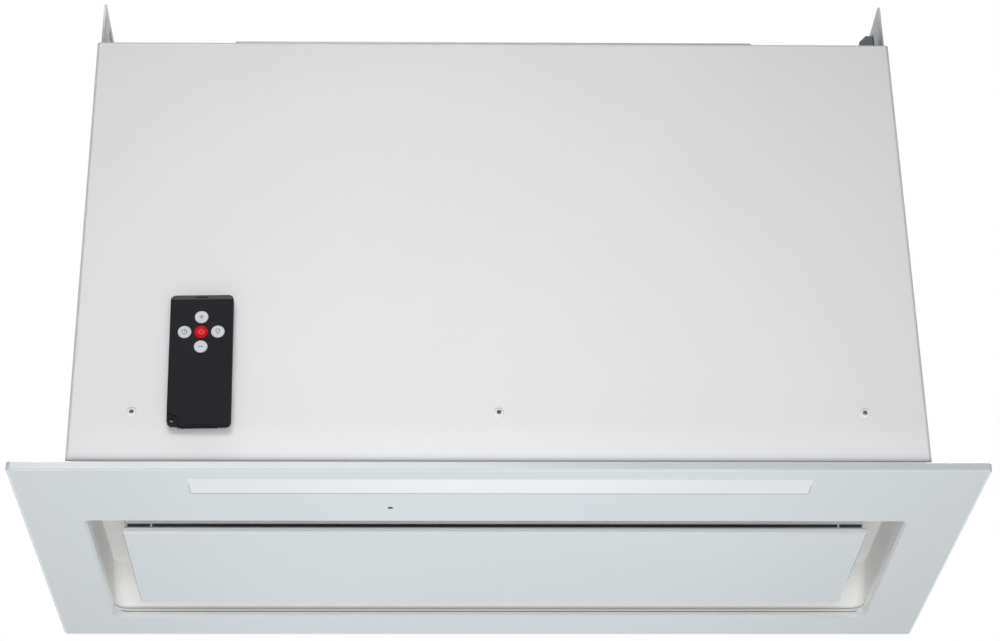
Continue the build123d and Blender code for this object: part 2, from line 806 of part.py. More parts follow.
# Each catch bracket drops from the ceiling's front strip and ends in a steel foot over the magnet.
catch_top_front = opening_front + 1.0
catch_top_rear = filter_front - 0.8
with BuildPart() as catch_brackets:
    for side in (-1, 1):
        face = side * catch_web_x - catch_plate / 2
        with BuildSketch(side_plane(face)):
            with BuildLine():
                Polyline(
                    (catch_top_front, ceiling),
                    (catch_top_rear, ceiling),
                    (catch_top_rear, ceiling - 3),
                    (catch_y + catch_magnet_radius, catch_foot + 4),
                    (catch_y + catch_magnet_radius, catch_foot),
                    (catch_y - catch_magnet_radius, catch_foot),
                    (catch_top_front, ceiling - 6),
                    (catch_top_front, ceiling),
                )
            make_face()
        extrude(amount=catch_plate)
        with BuildSketch(Plane.XY.offset(ceiling - catch_plate)):
            with Locations((side * catch_web_x, (catch_top_front + catch_top_rear) / 2)):
                Rectangle(14, catch_top_rear - catch_top_front)
        extrude(amount=catch_plate)
        with BuildSketch(Plane.XY.offset(catch_foot)):
            with Locations((side * (catch_x + catch_web_x - catch_magnet_radius) / 2, catch_y)):
                Rectangle(catch_web_x - catch_x + catch_magnet_radius, 2 * catch_magnet_radius + 1)
        extrude(amount=catch_plate)
save(catch_brackets, "catch_brackets")

# ---------------------------------------------------------------- grease filters

filter_width = (filter_seat_width - 3 * filter_gap) / 2
filter_depth = filter_rear - filter_front - filter_travel - 2 * filter_gap
filter_foot = ceiling - filter_drop
filter_y = filter_front + filter_gap + filter_depth / 2
filter_lip_foot = ceiling_top + 0.2


def filter_middle(side):
    return side * (filter_width + filter_gap) / 2


def build_filter_frame(side):
    """A folded rim with a lip that rests on the tray, and a finger pull under its front edge."""
    x = filter_middle(side)
    with BuildPart() as frame:
        with BuildSketch(Plane.XY.offset(filter_foot)):
            with Locations((x, filter_y)):
                RectangleRounded(filter_width, filter_depth, 2)
                Rectangle(filter_width - 2 * filter_rim, filter_depth - 2 * filter_rim, mode=Mode.SUBTRACT)
        extrude(amount=filter_thick)
        with BuildSketch(Plane.XY.offset(filter_foot + filter_wall)):
            with Locations((x, filter_y)):
                Rectangle(filter_width - 2 * filter_wall, filter_depth - 2 * filter_wall)
                Rectangle(
                    filter_width - 2 * filter_rim - 0.1,
                    filter_depth - 2 * filter_rim - 0.1,
                    mode=Mode.SUBTRACT,
                )
        extrude(amount=filter_thick - 2 * filter_wall, mode=Mode.SUBTRACT)
        with BuildSketch(Plane.XY.offset(filter_lip_foot)):
            front_lip_y = filter_y - filter_depth / 2 - filter_lip / 2
            rear_lip_length = filter_travel + filter_lip
            rear_lip_y = filter_y + filter_depth / 2 + rear_lip_length / 2
            with Locations((x, front_lip_y)):
                with GridLocations(filter_width / 2, 1, 2, 1):
                    Rectangle(30, filter_lip)
            with Locations((x, rear_lip_y)):
                with GridLocations(filter_width / 2, 1, 2, 1):
                    Rectangle(30, rear_lip_length)
        extrude(amount=filter_wall)
        with BuildSketch(Plane.XY.offset(filter_foot)):
            with Locations((x, filter_y - filter_depth / 2 + filter_rim / 2)):
                RectangleRounded(46, filter_rim - 1, 2)
                RectangleRounded(42, filter_rim - 5, 1.5, mode=Mode.SUBTRACT)
        extrude(amount=-3.5)
    return frame


def build_filter_mesh(side):
    """The pack of slotted aluminium sheets inside the rim, simplified to one slotted slab."""
    x = filter_middle(side)
    width = filter_width - 2 * filter_wall - 0.4
    depth = filter_depth - 2 * filter_wall - 0.4
    open_width = filter_width - 2 * filter_rim
    open_depth = filter_depth - 2 * filter_rim
    pitch_x = open_width / filter_slot_columns
    pitch_y = open_depth / filter_slot_rows
    with BuildPart() as mesh:
        with BuildSketch(Plane.XY.offset(filter_foot + filter_thick / 2 - filter_mesh_thick / 2)):
            with Locations((x, filter_y)):
                Rectangle(width, depth)
                with GridLocations(pitch_x, pitch_y, filter_slot_columns, filter_slot_rows):
                    Rectangle(pitch_x - filter_web, pitch_y - filter_web, mode=Mode.SUBTRACT)
        extrude(amount=filter_mesh_thick)
    return mesh


for side, name in ((-1, "left"), (1, "right")):
    save(build_filter_frame(side), f"{name}_filter_frame")
    save(build_filter_mesh(side), f"{name}_filter_mesh")

# ---------------------------------------------------------------- blower

duct_left = duct_front - fan_y
scroll_rise = body_top - fan_z
scroll_start = degrees(acos(duct_left / scroll_start_radius))
scroll_spans = 6


def scroll_point(angle):
    """A point of the spiral wall: its radius grows evenly with the angle round the wheel."""
    share = (angle - scroll_start) / (360.0 - scroll_start)
    radius = scroll_start_radius + share * (scroll_end_radius - scroll_start_radius)
    return (radius * cos(radians(angle)), radius * sin(radians(angle)))


def scroll_outline(grow, top):
    """The inside outline of the scroll and its duct, grown by a wall, cut level at the top."""
    step = (360.0 - scroll_start) / scroll_spans
    with BuildSketch(mode=Mode.PRIVATE) as outline:
        with BuildLine():
            for index in range(scroll_spans):
                angle = scroll_start + index * step
                ThreePointArc(
                    scroll_point(angle),
                    scroll_point(angle + step / 2),
                    scroll_point(angle + step),
                )
            Line((scroll_end_radius, 0), (scroll_end_radius, top - grow))
            Line((scroll_end_radius, top - grow), (duct_left, top - grow))
            Line((duct_left, top - grow), scroll_point(scroll_start))
        make_face()
        if grow > 0:
            offset(amount=grow, kind=Kind.INTERSECTION)
    return outline.sketch


seam = scroll_wall + scroll_seam / 2
seam_places = [
    (
        scroll_point(angle)[0] + seam * cos(radians(angle)),
        scroll_point(angle)[1] + seam * sin(radians(angle)),
    )
    for angle in (120, 180, 240, 300, 355)
]
mount_x = scroll_half_width + 6.0
mount_y = (duct_front - 6.0, duct_rear + 6.0)
mount_places = [(side * mount_x, y) for side in (-1, 1) for y in mount_y]
seam_holes = hole_tools(fan_plane, seam_places, seam_screw_radius + screw_clearance)
mount_holes = hole_tools(Plane.XY.offset(body_top), mount_places, plate_screw_radius + screw_clearance)


def build_scroll(side):
    """Half of the moulded scroll, open at the middle, with a rounded inlet in its cheek."""
    outer = side * scroll_half_width
    cheek = side * scroll_inner_width
    with BuildPart() as scroll:
        with BuildSketch(fan_plane.offset(outer)):
            add(scroll_outline(scroll_wall, scroll_rise))
        extrude(amount=-outer)
        with BuildSketch(fan_plane):
            add(scroll_outline(scroll_wall + scroll_seam, scroll_rise))
        extrude(amount=side * scroll_wall)
        with BuildSketch(Plane.XY.offset(body_top)):
            with Locations((side * (scroll_half_width + scroll_foot) / 2, collar_y)):
                Rectangle(scroll_half_width + scroll_foot, scroll_duct + 2 * (scroll_wall + scroll_seam))
        extrude(amount=-scroll_wall)
        with BuildSketch(fan_plane.offset(cheek)):
            add(scroll_outline(0, scroll_rise + 1))
        extrude(amount=-cheek, mode=Mode.SUBTRACT)
        with BuildSketch(fan_plane.offset(outer)):
            Circle(inlet_radius + inlet_lip)
        extrude(amount=-side * scroll_wall, mode=Mode.SUBTRACT)
        with BuildSketch(fan_section):
            with BuildLine():
                lip_x = side * (scroll_half_width - inlet_lip)
                rim = inlet_radius + inlet_lip
                thin = inlet_lip - scroll_wall
                ThreePointArc(
                    (outer, rim),
                    (lip_x + side * inlet_lip * cos(radians(45)), rim - inlet_lip * sin(radians(45))),
                    (lip_x, inlet_radius),
                )
                Line((lip_x, inlet_radius), (lip_x, inlet_radius + scroll_wall))
                ThreePointArc(
                    (lip_x, inlet_radius + scroll_wall),
                    (lip_x + side * thin * cos(radians(45)), rim - thin * sin(radians(45))),
                    (cheek, rim),
                )
                Line((cheek, rim), (outer, rim))
            make_face()
        revolve(axis=fan_axis)
        extrude(seam_holes, amount=side * scroll_wall, mode=Mode.SUBTRACT)
        extrude(mount_holes, amount=-scroll_wall, mode=Mode.SUBTRACT)
    return scroll


save(build_scroll(-1), "scroll_left")
save(build_scroll(1), "scroll_right")

# The wheel: a middle disc with a row of forward-curved blades on each side, tied by end rings.
def blade_point(radius, angle):
    return (radius * cos(radians(angle)), radius * sin(radians(angle)))


def blade_outline():
    """One blade seen along the axle: two arcs that lean forward towards the rim."""
    middle = wheel_inner_radius + 0.55 * (wheel_radius - wheel_inner_radius)
    with BuildSketch(mode=Mode.PRIVATE) as blade:
        with BuildLine():
            for shift in (0.0, blade_angle_thick):
                ThreePointArc(
                    blade_point(wheel_inner_radius, shift),
                    blade_point(middle, shift + 0.3 * blade_sweep),
                    blade_point(wheel_radius, shift + blade_sweep),
                )
            Line(blade_point(wheel_inner_radius, 0), blade_point(wheel_inner_radius, blade_angle_thick))
            Line(
                blade_point(wheel_radius, blade_sweep),
                blade_point(wheel_radius, blade_sweep + blade_angle_thick),
            )
        make_face()
    return blade.sketch


with BuildPart() as impeller:
    with BuildSketch(fan_plane.offset(-wheel_half_width)):
        with PolarLocations(0, blade_count):
            add(blade_outline())
    extrude(amount=2 * wheel_half_width)
    with BuildSketch(fan_plane.offset(-wheel_disc / 2)):
        Circle(wheel_radius)
    extrude(amount=wheel_disc)
    for side in (-1, 1):
        with BuildSketch(fan_plane.offset(side * wheel_half_width)):
            Circle(wheel_radius)
            Circle(wheel_inner_radius, mode=Mode.SUBTRACT)
        extrude(amount=-side * wheel_ring)
    with BuildSketch(fan_plane.offset(-hub_half_length)):
        Circle(hub_radius)
    extrude(amount=2 * hub_half_length)
    with BuildSketch(fan_plane.offset(-hub_half_length)):
        Circle(shaft_radius + shaft_clearance)
    extrude(amount=2 * hub_half_length, mode=Mode.SUBTRACT)
save(impeller, "impeller")

shaft_inner_end = motor_inner_end - 30.0
with BuildPart() as motor_shaft:
    with BuildSketch(fan_plane.offset(shaft_inner_end)):
        Circle(shaft_radius)
    extrude(amount=hub_half_length + 3.0 - shaft_inner_end)
    chamfer(motor_shaft.edges().filter_by(GeomType.CIRCLE), 0.5)
save(motor_shaft, "motor_shaft")

# The motor reaches into the wheel from the left inlet, held by a ring with three arms.
bracket_face = -scroll_half_width
with BuildPart() as fan_motor:
    with BuildSketch(fan_section):
        with BuildLine():
            Polyline(
                (motor_outer_end, 0),
                (motor_outer_end, motor_radius - 12),
                (motor_outer_end + 6, motor_radius - 2),
                (bracket_face - bracket_sheet - 3, motor_radius - 2),
                (bracket_face - bracket_sheet - 3, motor_flange_radius),
                (bracket_face - bracket_sheet, motor_flange_radius),
                (bracket_face - bracket_sheet, motor_radius),
                (motor_inner_end - 8, motor_radius),
                (motor_inner_end - 3, motor_radius - 8),
                (motor_inner_end - 3, 12),
                (motor_inner_end, 10),
                (motor_inner_end, 0),
                (motor_outer_end, 0),
            )
        make_face()
    revolve(axis=fan_axis)
    with BuildSketch(fan_plane.offset(motor_inner_end)):
        Circle(shaft_radius + shaft_clearance)
    extrude(amount=shaft_inner_end - 0.5 - motor_inner_end, mode=Mode.SUBTRACT)
    with BuildSketch(fan_plane.offset(motor_inner_end)):
        with PolarLocations(motor_radius - 16, 8):
            SlotOverall(12, 4)
    extrude(amount=-12, mode=Mode.SUBTRACT)
save(fan_motor, "fan_motor")

with BuildPart() as motor_bracket:
    with BuildSketch(fan_plane.offset(bracket_face)):
        Circle(bracket_ring_radius)
        Circle(inlet_radius + inlet_lip, mode=Mode.SUBTRACT)
        Circle(motor_flange_radius)
        with PolarLocations((motor_flange_radius + bracket_ring_radius) / 2 - 3, 3, 90):
            Rectangle(bracket_ring_radius - motor_flange_radius + 2, bracket_arm)
        Circle(motor_radius + 0.4, mode=Mode.SUBTRACT)
    extrude(amount=-bracket_sheet)
save(motor_bracket, "motor_bracket")

with BuildPart() as scroll_screws:
    screw(
        fan_plane.offset(scroll_wall),
        seam_places,
        seam_head_radius,
        seam_head_height,
        seam_screw_radius,
        2 * scroll_wall + 2.0,
    )
save(scroll_screws, "scroll_screws")

# ---------------------------------------------------------------- top plate, outlet and flaps

duct_width = 2 * scroll_inner_width
with BuildPart() as motor_plate:
    with BuildSketch(Plane.XY.offset(plate_foot)):
        with Locations((0, (plate_front + plate_rear) / 2)):
            RectangleRounded(motor_plate_width, plate_rear - plate_front, motor_plate_corner)
        with Locations((0, collar_y)):
            Rectangle(duct_width, scroll_duct, mode=Mode.SUBTRACT)
        with Locations(*plate_screw_places, *mount_places):
            Circle(plate_screw_radius + screw_clearance, mode=Mode.SUBTRACT)
    extrude(amount=motor_plate_thick)
save(motor_plate, "motor_plate")

# The outlet turns the oblong duct into a round spigot. A ledge inside it carries the closed flaps.
shoulder_foot = plate_top + collar_flange
shoulder_top = shoulder_foot + collar_shoulder
ledge_radius = collar_radius - collar_wall - collar_ledge
with BuildPart() as outlet_collar:
    with BuildSketch(Plane.XY.offset(plate_top)):
        with Locations((0, collar_y)):
            RectangleRounded(collar_flange_width, collar_flange_depth, 4)
        with Locations(*mount_places):
            Circle(plate_screw_radius + screw_clearance, mode=Mode.SUBTRACT)
    extrude(amount=collar_flange)
    with BuildSketch(Plane.XY.offset(shoulder_foot)):
        with Locations((0, collar_y)):
            RectangleRounded(duct_width + 2 * collar_wall, scroll_duct + 2 * collar_wall, 6)
    with BuildSketch(Plane.XY.offset(shoulder_top)):
        with Locations((0, collar_y)):
            Circle(collar_radius)
    loft()
    with BuildSketch(Plane.XY.offset(shoulder_top)):
        with Locations((0, collar_y)):
            Circle(collar_radius)
    extrude(amount=collar_top - shoulder_top)
    with BuildSketch(Plane.XY.offset(plate_top)):
        with Locations((0, collar_y)):
            RectangleRounded(duct_width, scroll_duct, 4)
    with BuildSketch(Plane.XY.offset(shoulder_top)):
        with Locations((0, collar_y)):
            Circle(ledge_radius)
    loft(mode=Mode.SUBTRACT)
    with BuildSketch(Plane.XY.offset(shoulder_top)):
        with Locations((0, collar_y)):
            Circle(ledge_radius)
    extrude(amount=collar_ledge, mode=Mode.SUBTRACT)
    with BuildSketch(Plane.XY.offset(ledge_top)):
        with Locations((0, collar_y)):
            Circle(collar_radius - collar_wall)
    extrude(amount=collar_top - ledge_top, mode=Mode.SUBTRACT)
    with BuildSketch(side_plane(0)):
        with Locations((collar_y, flap_pin_z)):
            Circle(flap_pin_radius + shaft_clearance)
    extrude(amount=collar_radius + 1, both=True, mode=Mode.SUBTRACT)
save(outlet_collar, "outlet_collar")

flap_pin_half = collar_radius - 0.3
with BuildPart() as flap_pin:
    with BuildSketch(side_plane(-flap_pin_half)):
        with Locations((collar_y, flap_pin_z)):
            Circle(flap_pin_radius)
    extrude(amount=2 * flap_pin_half)
save(flap_pin, "flap_pin")

flap_radius = collar_radius - collar_wall - flap_clearance
flap_foot = ledge_top + flap_rest_gap


def build_flap(side):
    """Half a disc with three knuckles on the pin. They stand between the other flap's knuckles."""
    knuckle_x = [side * (step - 2.5) * knuckle_pitch for step in (0, 2, 4)]
    with BuildPart() as flap:
        with BuildSketch(Plane.XY.offset(flap_foot)):
            with Locations((0, collar_y)):
                Circle(flap_radius)
            with Locations((0, collar_y - side * (flap_radius - flap_root_gap))):
                Rectangle(3 * flap_radius, 2 * flap_radius, mode=Mode.SUBTRACT)
            with Locations(*[(x, collar_y + side * flap_root_gap / 2) for x in knuckle_x]):
                Rectangle(knuckle_length, flap_root_gap + 0.5)
        extrude(amount=flap_thick)
        for x in knuckle_x:
            with BuildSketch(side_plane(x - knuckle_length / 2)):
                with Locations((collar_y, flap_pin_z)):
                    Circle(flap_knuckle_radius)
            extrude(amount=knuckle_length)
        with BuildSketch(side_plane(0)):
            with Locations((collar_y, flap_pin_z)):
                Circle(flap_pin_radius + shaft_clearance)
        extrude(amount=collar_radius, both=True, mode=Mode.SUBTRACT)
    return flap


save(build_flap(-1), "front_flap")
save(build_flap(1), "rear_flap")

with BuildPart() as plate_screws:
    for foot, places in ((plate_top, plate_screw_places), (shoulder_foot, mount_places)):
        screw(
            Plane.XY.offset(foot),
            places,
            plate_head_radius,
            plate_head_height,
            plate_screw_radius,
            plate_screw_reach,
        )
save(plate_screws, "plate_screws")

# ---------------------------------------------------------------- electrical pieces

panel_under = body_top - sheet
control_x = inner_width / 2 - control_right_gap - control_width / 2
control_y = body_front + control_front_gap + control_depth / 2
control_foot = panel_under - control_height
screw_pitch_x = control_width - 2 * control_screw_inset
screw_pitch_y = control_depth - 2 * control_screw_inset

with BuildPart() as control_box:
    with BuildSketch(Plane.XY.offset(control_foot)):
        with Locations((control_x, control_y)):
            RectangleRounded(control_width, control_depth, 4)
    extrude(amount=control_height)
    with BuildSketch(Plane.XY.offset(control_foot)):
        with Locations((control_x, control_y)):
            RectangleRounded(control_width - 2 * control_wall, control_depth - 2 * control_wall, 2)
    extrude(amount=control_height - control_wall, mode=Mode.SUBTRACT)
    with BuildSketch(Plane.XY.offset(control_foot)):
        with Locations((control_x, control_y)):
            post_inset = 2 * control_wall + control_post_side
            with GridLocations(control_width - post_inset, control_depth - post_inset, 2, 2):
                Rectangle(control_post_side, control_post_side)
    extrude(amount=control_post)
    with BuildSketch(Plane.XY.offset(control_foot)):
        with Locations((control_x, control_y)):
            with GridLocations(screw_pitch_x, screw_pitch_y, 2, 2):
                Circle(seam_screw_radius + screw_clearance)
    extrude(amount=control_post, mode=Mode.SUBTRACT)
save(control_box, "control_box")

with BuildPart() as control_lid:
    with BuildSketch(Plane.XY.offset(control_foot)):
        with Locations((control_x, control_y)):
            RectangleRounded(control_width, control_depth, 4)
            with GridLocations(screw_pitch_x, screw_pitch_y, 2, 2):
                Circle(seam_screw_radius + screw_clearance, mode=Mode.SUBTRACT)
    extrude(amount=-control_wall)
    with BuildSketch(Plane.XY.offset(control_foot)):
        with Locations((control_x, control_y)):
            Rectangle(control_width - 42, 6)
            Rectangle(control_width - 48, 3, mode=Mode.SUBTRACT)
    extrude(amount=2)
save(control_lid, "control_lid")

lid_screw_places = [
    (control_x + i * screw_pitch_x / 2, -control_y - j * screw_pitch_y / 2)
    for i in (-1, 1)
    for j in (-1, 1)
]
lid_under = Plane(origin=(0, 0, control_foot - control_wall), x_dir=(1, 0, 0), z_dir=(0, 0, -1))
with BuildPart() as control_screws:
    screw(
        lid_under,
        lid_screw_places,
        seam_head_radius,
        seam_head_height,
        seam_screw_radius,
        control_screw_reach,
    )
save(control_screws, "control_screws")

board_z = control_foot + control_board_rise
board_y = control_y - control_depth / 2 + control_wall + control_board_gap + control_board_length / 2
with BuildPart() as control_board:
    with BuildSketch(Plane.XY.offset(board_z)):
        with Locations((control_x, board_y)):
            Rectangle(control_width - 2 * control_wall, control_board_length)
    extrude(amount=control_board_thick)
    for x, y, width, depth, height in (
        (-18, 12, 18, 15, 14),
        (4, 12, 16, 15, 14),
        (-12, -14, 24, 20, 18),
        (20, -8, 14, 30, 9),
    ):
        with BuildSketch(Plane.XY.offset(board_z + control_board_thick)):
            with Locations((control_x + x, board_y + y)):
                Rectangle(width, depth)
        extrude(amount=height)
save(control_board, "control_board")

capacitor_y = control_y + control_depth / 2 - control_wall - capacitor_radius - 1.0
capacitor_z = panel_under - control_wall - capacitor_radius - 0.4
with BuildPart() as capacitor:
    with BuildSketch(side_plane(control_x - capacitor_length / 2 + 2)):
        with Locations((capacitor_y, capacitor_z)):
            Circle(capacitor_radius)
    extrude(amount=capacitor_length - 4)
    chamfer(capacitor.edges().filter_by(GeomType.CIRCLE), 1.2)
save(capacitor, "capacitor")

driver_y = control_y + control_depth / 2 + driver_gap + driver_depth / 2
with BuildPart() as led_driver:
    with BuildSketch(Plane.XY.offset(panel_under)):
        with Locations((control_x, driver_y)):
            Rectangle(driver_width, driver_depth)
    extrude(amount=-driver_height)
    with BuildSketch(Plane.XY.offset(panel_under)):
        with Locations((control_x, driver_y)):
            Rectangle(driver_tab_width, driver_tab_depth)
            with GridLocations(driver_tab_pitch, 1, 2, 1):
                Circle(driver_tab_hole, mode=Mode.SUBTRACT)
    extrude(amount=-driver_tab_thick)
    chamfer(led_driver.faces().sort_by(Axis.Z)[0].edges(), 1.5)
save(led_driver, "led_driver")

# The cord bushing clips into the top panel. Its sloping head faces the front.
with BuildPart() as cord_bushing:
    with BuildSketch(Plane.XY.offset(body_top)):
        with Locations((clamp_x, clamp_y)):
            Rectangle(clamp_width, clamp_depth)
    extrude(amount=clamp_height)
    chamfer(cord_bushing.faces().sort_by(Axis.Z)[-1].edges().sort_by(Axis.X)[0], clamp_slope)
    fillet(cord_bushing.edges().filter_by(Axis.Z).sort_by(Axis.X)[-2:], 1.5)
    with BuildSketch(Plane.XY.offset(body_top)):
        with Locations((clamp_x, clamp_y)):
            Circle(clamp_neck_radius)
    extrude(amount=-clamp_neck_length)
    with BuildSketch(Plane.XY.offset(body_top - clamp_neck_length)):
        with Locations((clamp_x, clamp_y)):
            Circle(cord_radius)
    extrude(amount=clamp_neck_length + clamp_height, mode=Mode.SUBTRACT)
save(cord_bushing, "cord_bushing")

# ---------------------------------------------------------------- handset

key_places = {
    "power": (0, key_cross_y),
    "plus": (0, key_cross_y + key_pitch),
    "minus": (0, key_cross_y - key_pitch),
    "timer": (-key_pitch, key_cross_y),
    "light": (key_pitch, key_cross_y),
}
handset_inner_width = handset_width - 2 * handset_rim
handset_inner_height = handset_height - 2 * handset_rim
handset_foot = -handset_height / 2
lanyard_corner = (-handset_width / 2, handset_foot)
tray_y = handset_foot + tray_length / 2
tray_foot_z = handset_wall + tray_clearance
cell_foot_z = tray_foot_z + 0.4
cell_y = handset_foot + tray_end_wall + cell_radius + cell_clearance


def handset_cavity(corner_radius):
    """The inside's outline, drawn in round the corner where a strap is tied."""
    with BuildSketch(mode=Mode.PRIVATE) as cavity:
        Rectangle(handset_inner_width, handset_inner_height)
        with Locations(lanyard_corner):
            Circle(corner_radius, mode=Mode.SUBTRACT)
    return cavity.sketch


# The rear shell tapers to its back, and its lower left corner is cut away so that a strap can pass.
with BuildPart() as handset_shell:
    with BuildSketch(handset_plane):
        RectangleRounded(handset_width, handset_height, handset_corner)
    extrude(amount=handset_split)
    back = handset_shell.faces().sort_by(Axis.Y)[-1]
    chamfer(back.outer_wire().edges(), handset_split - 0.3, handset_taper, reference=back)
    with BuildSketch(handset_plane.offset(handset_wall)):
        add(handset_cavity(lanyard_notch + handset_wall))
    extrude(amount=handset_split, mode=Mode.SUBTRACT)
    with BuildSketch(handset_plane):
        with Locations(lanyard_corner):
            Circle(lanyard_notch)
    extrude(amount=handset_split, mode=Mode.SUBTRACT)
    with BuildSketch(handset_plane.offset(tray_foot_z - tray_clearance)):
        with Locations((0, handset_foot)):
            Rectangle(tray_width + 2 * tray_clearance, 4 * handset_rim)
    extrude(amount=tray_thick + 2 * tray_clearance, mode=Mode.SUBTRACT)
save(handset_shell, "handset_shell")

with BuildPart() as handset_face:
    with BuildSketch(handset_plane.offset(handset_split)):
        RectangleRounded(handset_width, handset_height, handset_corner)
    extrude(amount=handset_thick - handset_split)
    with BuildSketch(handset_side):
        with BuildLine():
            Polyline(
                (-handset_foot - handset_end_drop, handset_thick),
                (-handset_foot, handset_thick - handset_end_depth),
                (-handset_foot + 1, handset_thick + 1),
                (-handset_foot - handset_end_drop, handset_thick),
            )
        make_face()
    extrude(amount=handset_width, both=True, mode=Mode.SUBTRACT)
    with BuildSketch(handset_plane.offset(handset_split)):
        add(handset_cavity(lanyard_recess + handset_wall))
    extrude(amount=handset_thick - handset_split - handset_end_depth - handset_wall / 2, mode=Mode.SUBTRACT)
    with BuildSketch(handset_plane.offset(handset_thick - lanyard_recess_depth)):
        with Locations(lanyard_corner):
            Circle(lanyard_recess)
    extrude(amount=lanyard_recess_depth, mode=Mode.SUBTRACT)
    with BuildSketch(handset_plane.offset(handset_split)):
        with Locations((lanyard_x, lanyard_y)):
            Circle(lanyard_radius)
    extrude(amount=handset_thick, mode=Mode.SUBTRACT)
    with BuildSketch(handset_plane.offset(handset_split)):
        with Locations(*key_places.values()):
            Circle(key_radius + key_clearance)
    extrude(amount=handset_thick, mode=Mode.SUBTRACT)
save(handset_face, "handset_face")

board_foot_z = handset_split - 0.1
board_start = handset_foot + tray_length + 3.0
board_end = handset_inner_height / 2 - 0.5
with BuildPart() as handset_board:
    with BuildSketch(handset_plane.offset(board_foot_z)):
        with Locations((0, (board_start + board_end) / 2)):
            Rectangle(handset_inner_width - 1.0, board_end - board_start)
    extrude(amount=handset_board_thick)
save(handset_board, "handset_board")

key_foot = board_foot_z + handset_board_thick + key_travel + 0.1
key_skirt_top = handset_thick - handset_end_depth - handset_wall / 2 - 0.05
for name, place in key_places.items():
    with BuildPart() as key:
        with BuildSketch(handset_plane.offset(key_foot)):
            with Locations(place):
                Circle(key_radius)
        extrude(amount=handset_thick + key_proud - key_foot)
        chamfer(key.edges().filter_by(GeomType.CIRCLE).sort_by(Axis.Y)[0], 0.25)
        with BuildSketch(handset_plane.offset(key_foot)):
            with Locations(place):
                Circle(key_radius + key_skirt)
        extrude(amount=key_skirt_top - key_foot)
    save(key, f"key_{name}")

with BuildPart() as battery_tray:
    with BuildSketch(handset_plane.offset(tray_foot_z)):
        with Locations((0, tray_y)):
            Rectangle(tray_width, tray_length)
    extrude(amount=tray_thick)
    with BuildSketch(handset_plane.offset(cell_foot_z)):
        with Locations((0, cell_y)):
            Circle(cell_radius + cell_clearance)
    extrude(amount=tray_thick, mode=Mode.SUBTRACT)
save(battery_tray, "battery_tray")

with BuildPart() as coin_cell:
    with BuildSketch(handset_plane.offset(cell_foot_z)):
        with Locations((0, cell_y)):
            Circle(cell_radius)
    extrude(amount=cell_thick)
save(coin_cell, "coin_cell")
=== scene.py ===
import math

import bmesh
import bpy
from mathutils import Matrix, Vector


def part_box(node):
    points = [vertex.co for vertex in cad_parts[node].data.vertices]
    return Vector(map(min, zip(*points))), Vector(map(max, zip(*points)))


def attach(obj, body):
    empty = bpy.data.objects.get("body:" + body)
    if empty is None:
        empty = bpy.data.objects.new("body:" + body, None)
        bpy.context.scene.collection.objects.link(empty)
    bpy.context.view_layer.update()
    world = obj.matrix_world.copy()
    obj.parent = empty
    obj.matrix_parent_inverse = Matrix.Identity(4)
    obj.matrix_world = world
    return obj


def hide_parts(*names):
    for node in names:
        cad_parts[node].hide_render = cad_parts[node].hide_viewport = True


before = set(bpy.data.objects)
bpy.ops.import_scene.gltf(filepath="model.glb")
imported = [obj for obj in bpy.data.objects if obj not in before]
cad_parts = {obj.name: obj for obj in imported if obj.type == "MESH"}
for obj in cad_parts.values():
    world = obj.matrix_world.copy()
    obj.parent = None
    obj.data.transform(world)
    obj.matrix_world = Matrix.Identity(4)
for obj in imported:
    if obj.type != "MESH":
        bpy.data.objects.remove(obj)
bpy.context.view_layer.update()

bl_info = {
    "name": "Built-in range hood",
    "version": (1, 0, 0),
    "blender": (4, 5, 0),
    "location": "3D View > Sidebar > Range hood",
    "description": "Dresses the packed range hood: painted steel, white glass, filters, handset and studio",
    "category": "Object",
}

GLASS_LOW, GLASS_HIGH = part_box("glass_frame")
BODY_LOW, BODY_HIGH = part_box("body_wrap")
LAMP_LOW, LAMP_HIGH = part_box("led_diffuser")

SIDE_BORDER, FRONT_BORDER, REAR_BORDER = 0.0395, 0.0795, 0.0345
OPENING_LOW = GLASS_LOW + Vector((SIDE_BORDER, FRONT_BORDER, 0))
OPENING_HIGH = GLASS_HIGH - Vector((SIDE_BORDER, REAR_BORDER, 0))

FLOOR_DROP, FLOOR_SIZE = 1.5, 18
WORLD_STRENGTH = 0.10
# name, place, what it is aimed at, size, power in watts, spread in degrees
LAMPS = (
    ("key_light", (-0.25, -1.4, 0.70), (0, -0.13, 0.03), 0.7, 0.84, 50),
    ("front_light", (0, -0.95, 0.02), (0, -0.13, 0.03), 0.3, 0.66, 180),
    ("low_light", (0, -1.7, -0.35), (0, 0, 0.08), 0.5, 4.5, 180),
    ("under_light", (-0.07, -0.22, -0.76), (0, 0, 0), 0.8, 2.9, 180),
    ("back_light", (0.4, 2.8, 1.9), (0, 0, 0.2), 2.4, 8, 180),
    ("top_light", (0, 0.3, 7.0), (0, 0.3, -0.8), 6.0, 350, 180),
)
CAMERA_LENS, CAMERA_SENSOR, CAMERA_SHIFT = 86.954, 36, 0.0405
CAMERA_PLACE = (-0.0478, -1.4775, -0.6068)
CAMERA_TURN = ((-1.006, "Z"), (27.958, "X"), (0.335, "Y"))

SHANK_RADIUS, SHANK_LENGTH = 0.0019, 0.004
INK_THICKNESS, INK_LIFT = 0.00008, 0.00002


def toned(base, *factors):
    """A colour made lighter or darker by one factor, or by one for each channel."""
    return tuple(min(1, value * factor) for value, factor in zip(base, factors * (3 // len(factors))))


# ------------------------------------------------------------------ settings

def colour(name, description, default):
    """A colour setting."""
    return bpy.props.FloatVectorProperty(
        name=name, description=description, subtype="COLOR", size=3, min=0, max=1, default=default)


def length(name, description, default):
    """A length setting, in metres."""
    return bpy.props.FloatProperty(
        name=name, description=description, default=default, min=0, unit="LENGTH", subtype="DISTANCE", precision=5)


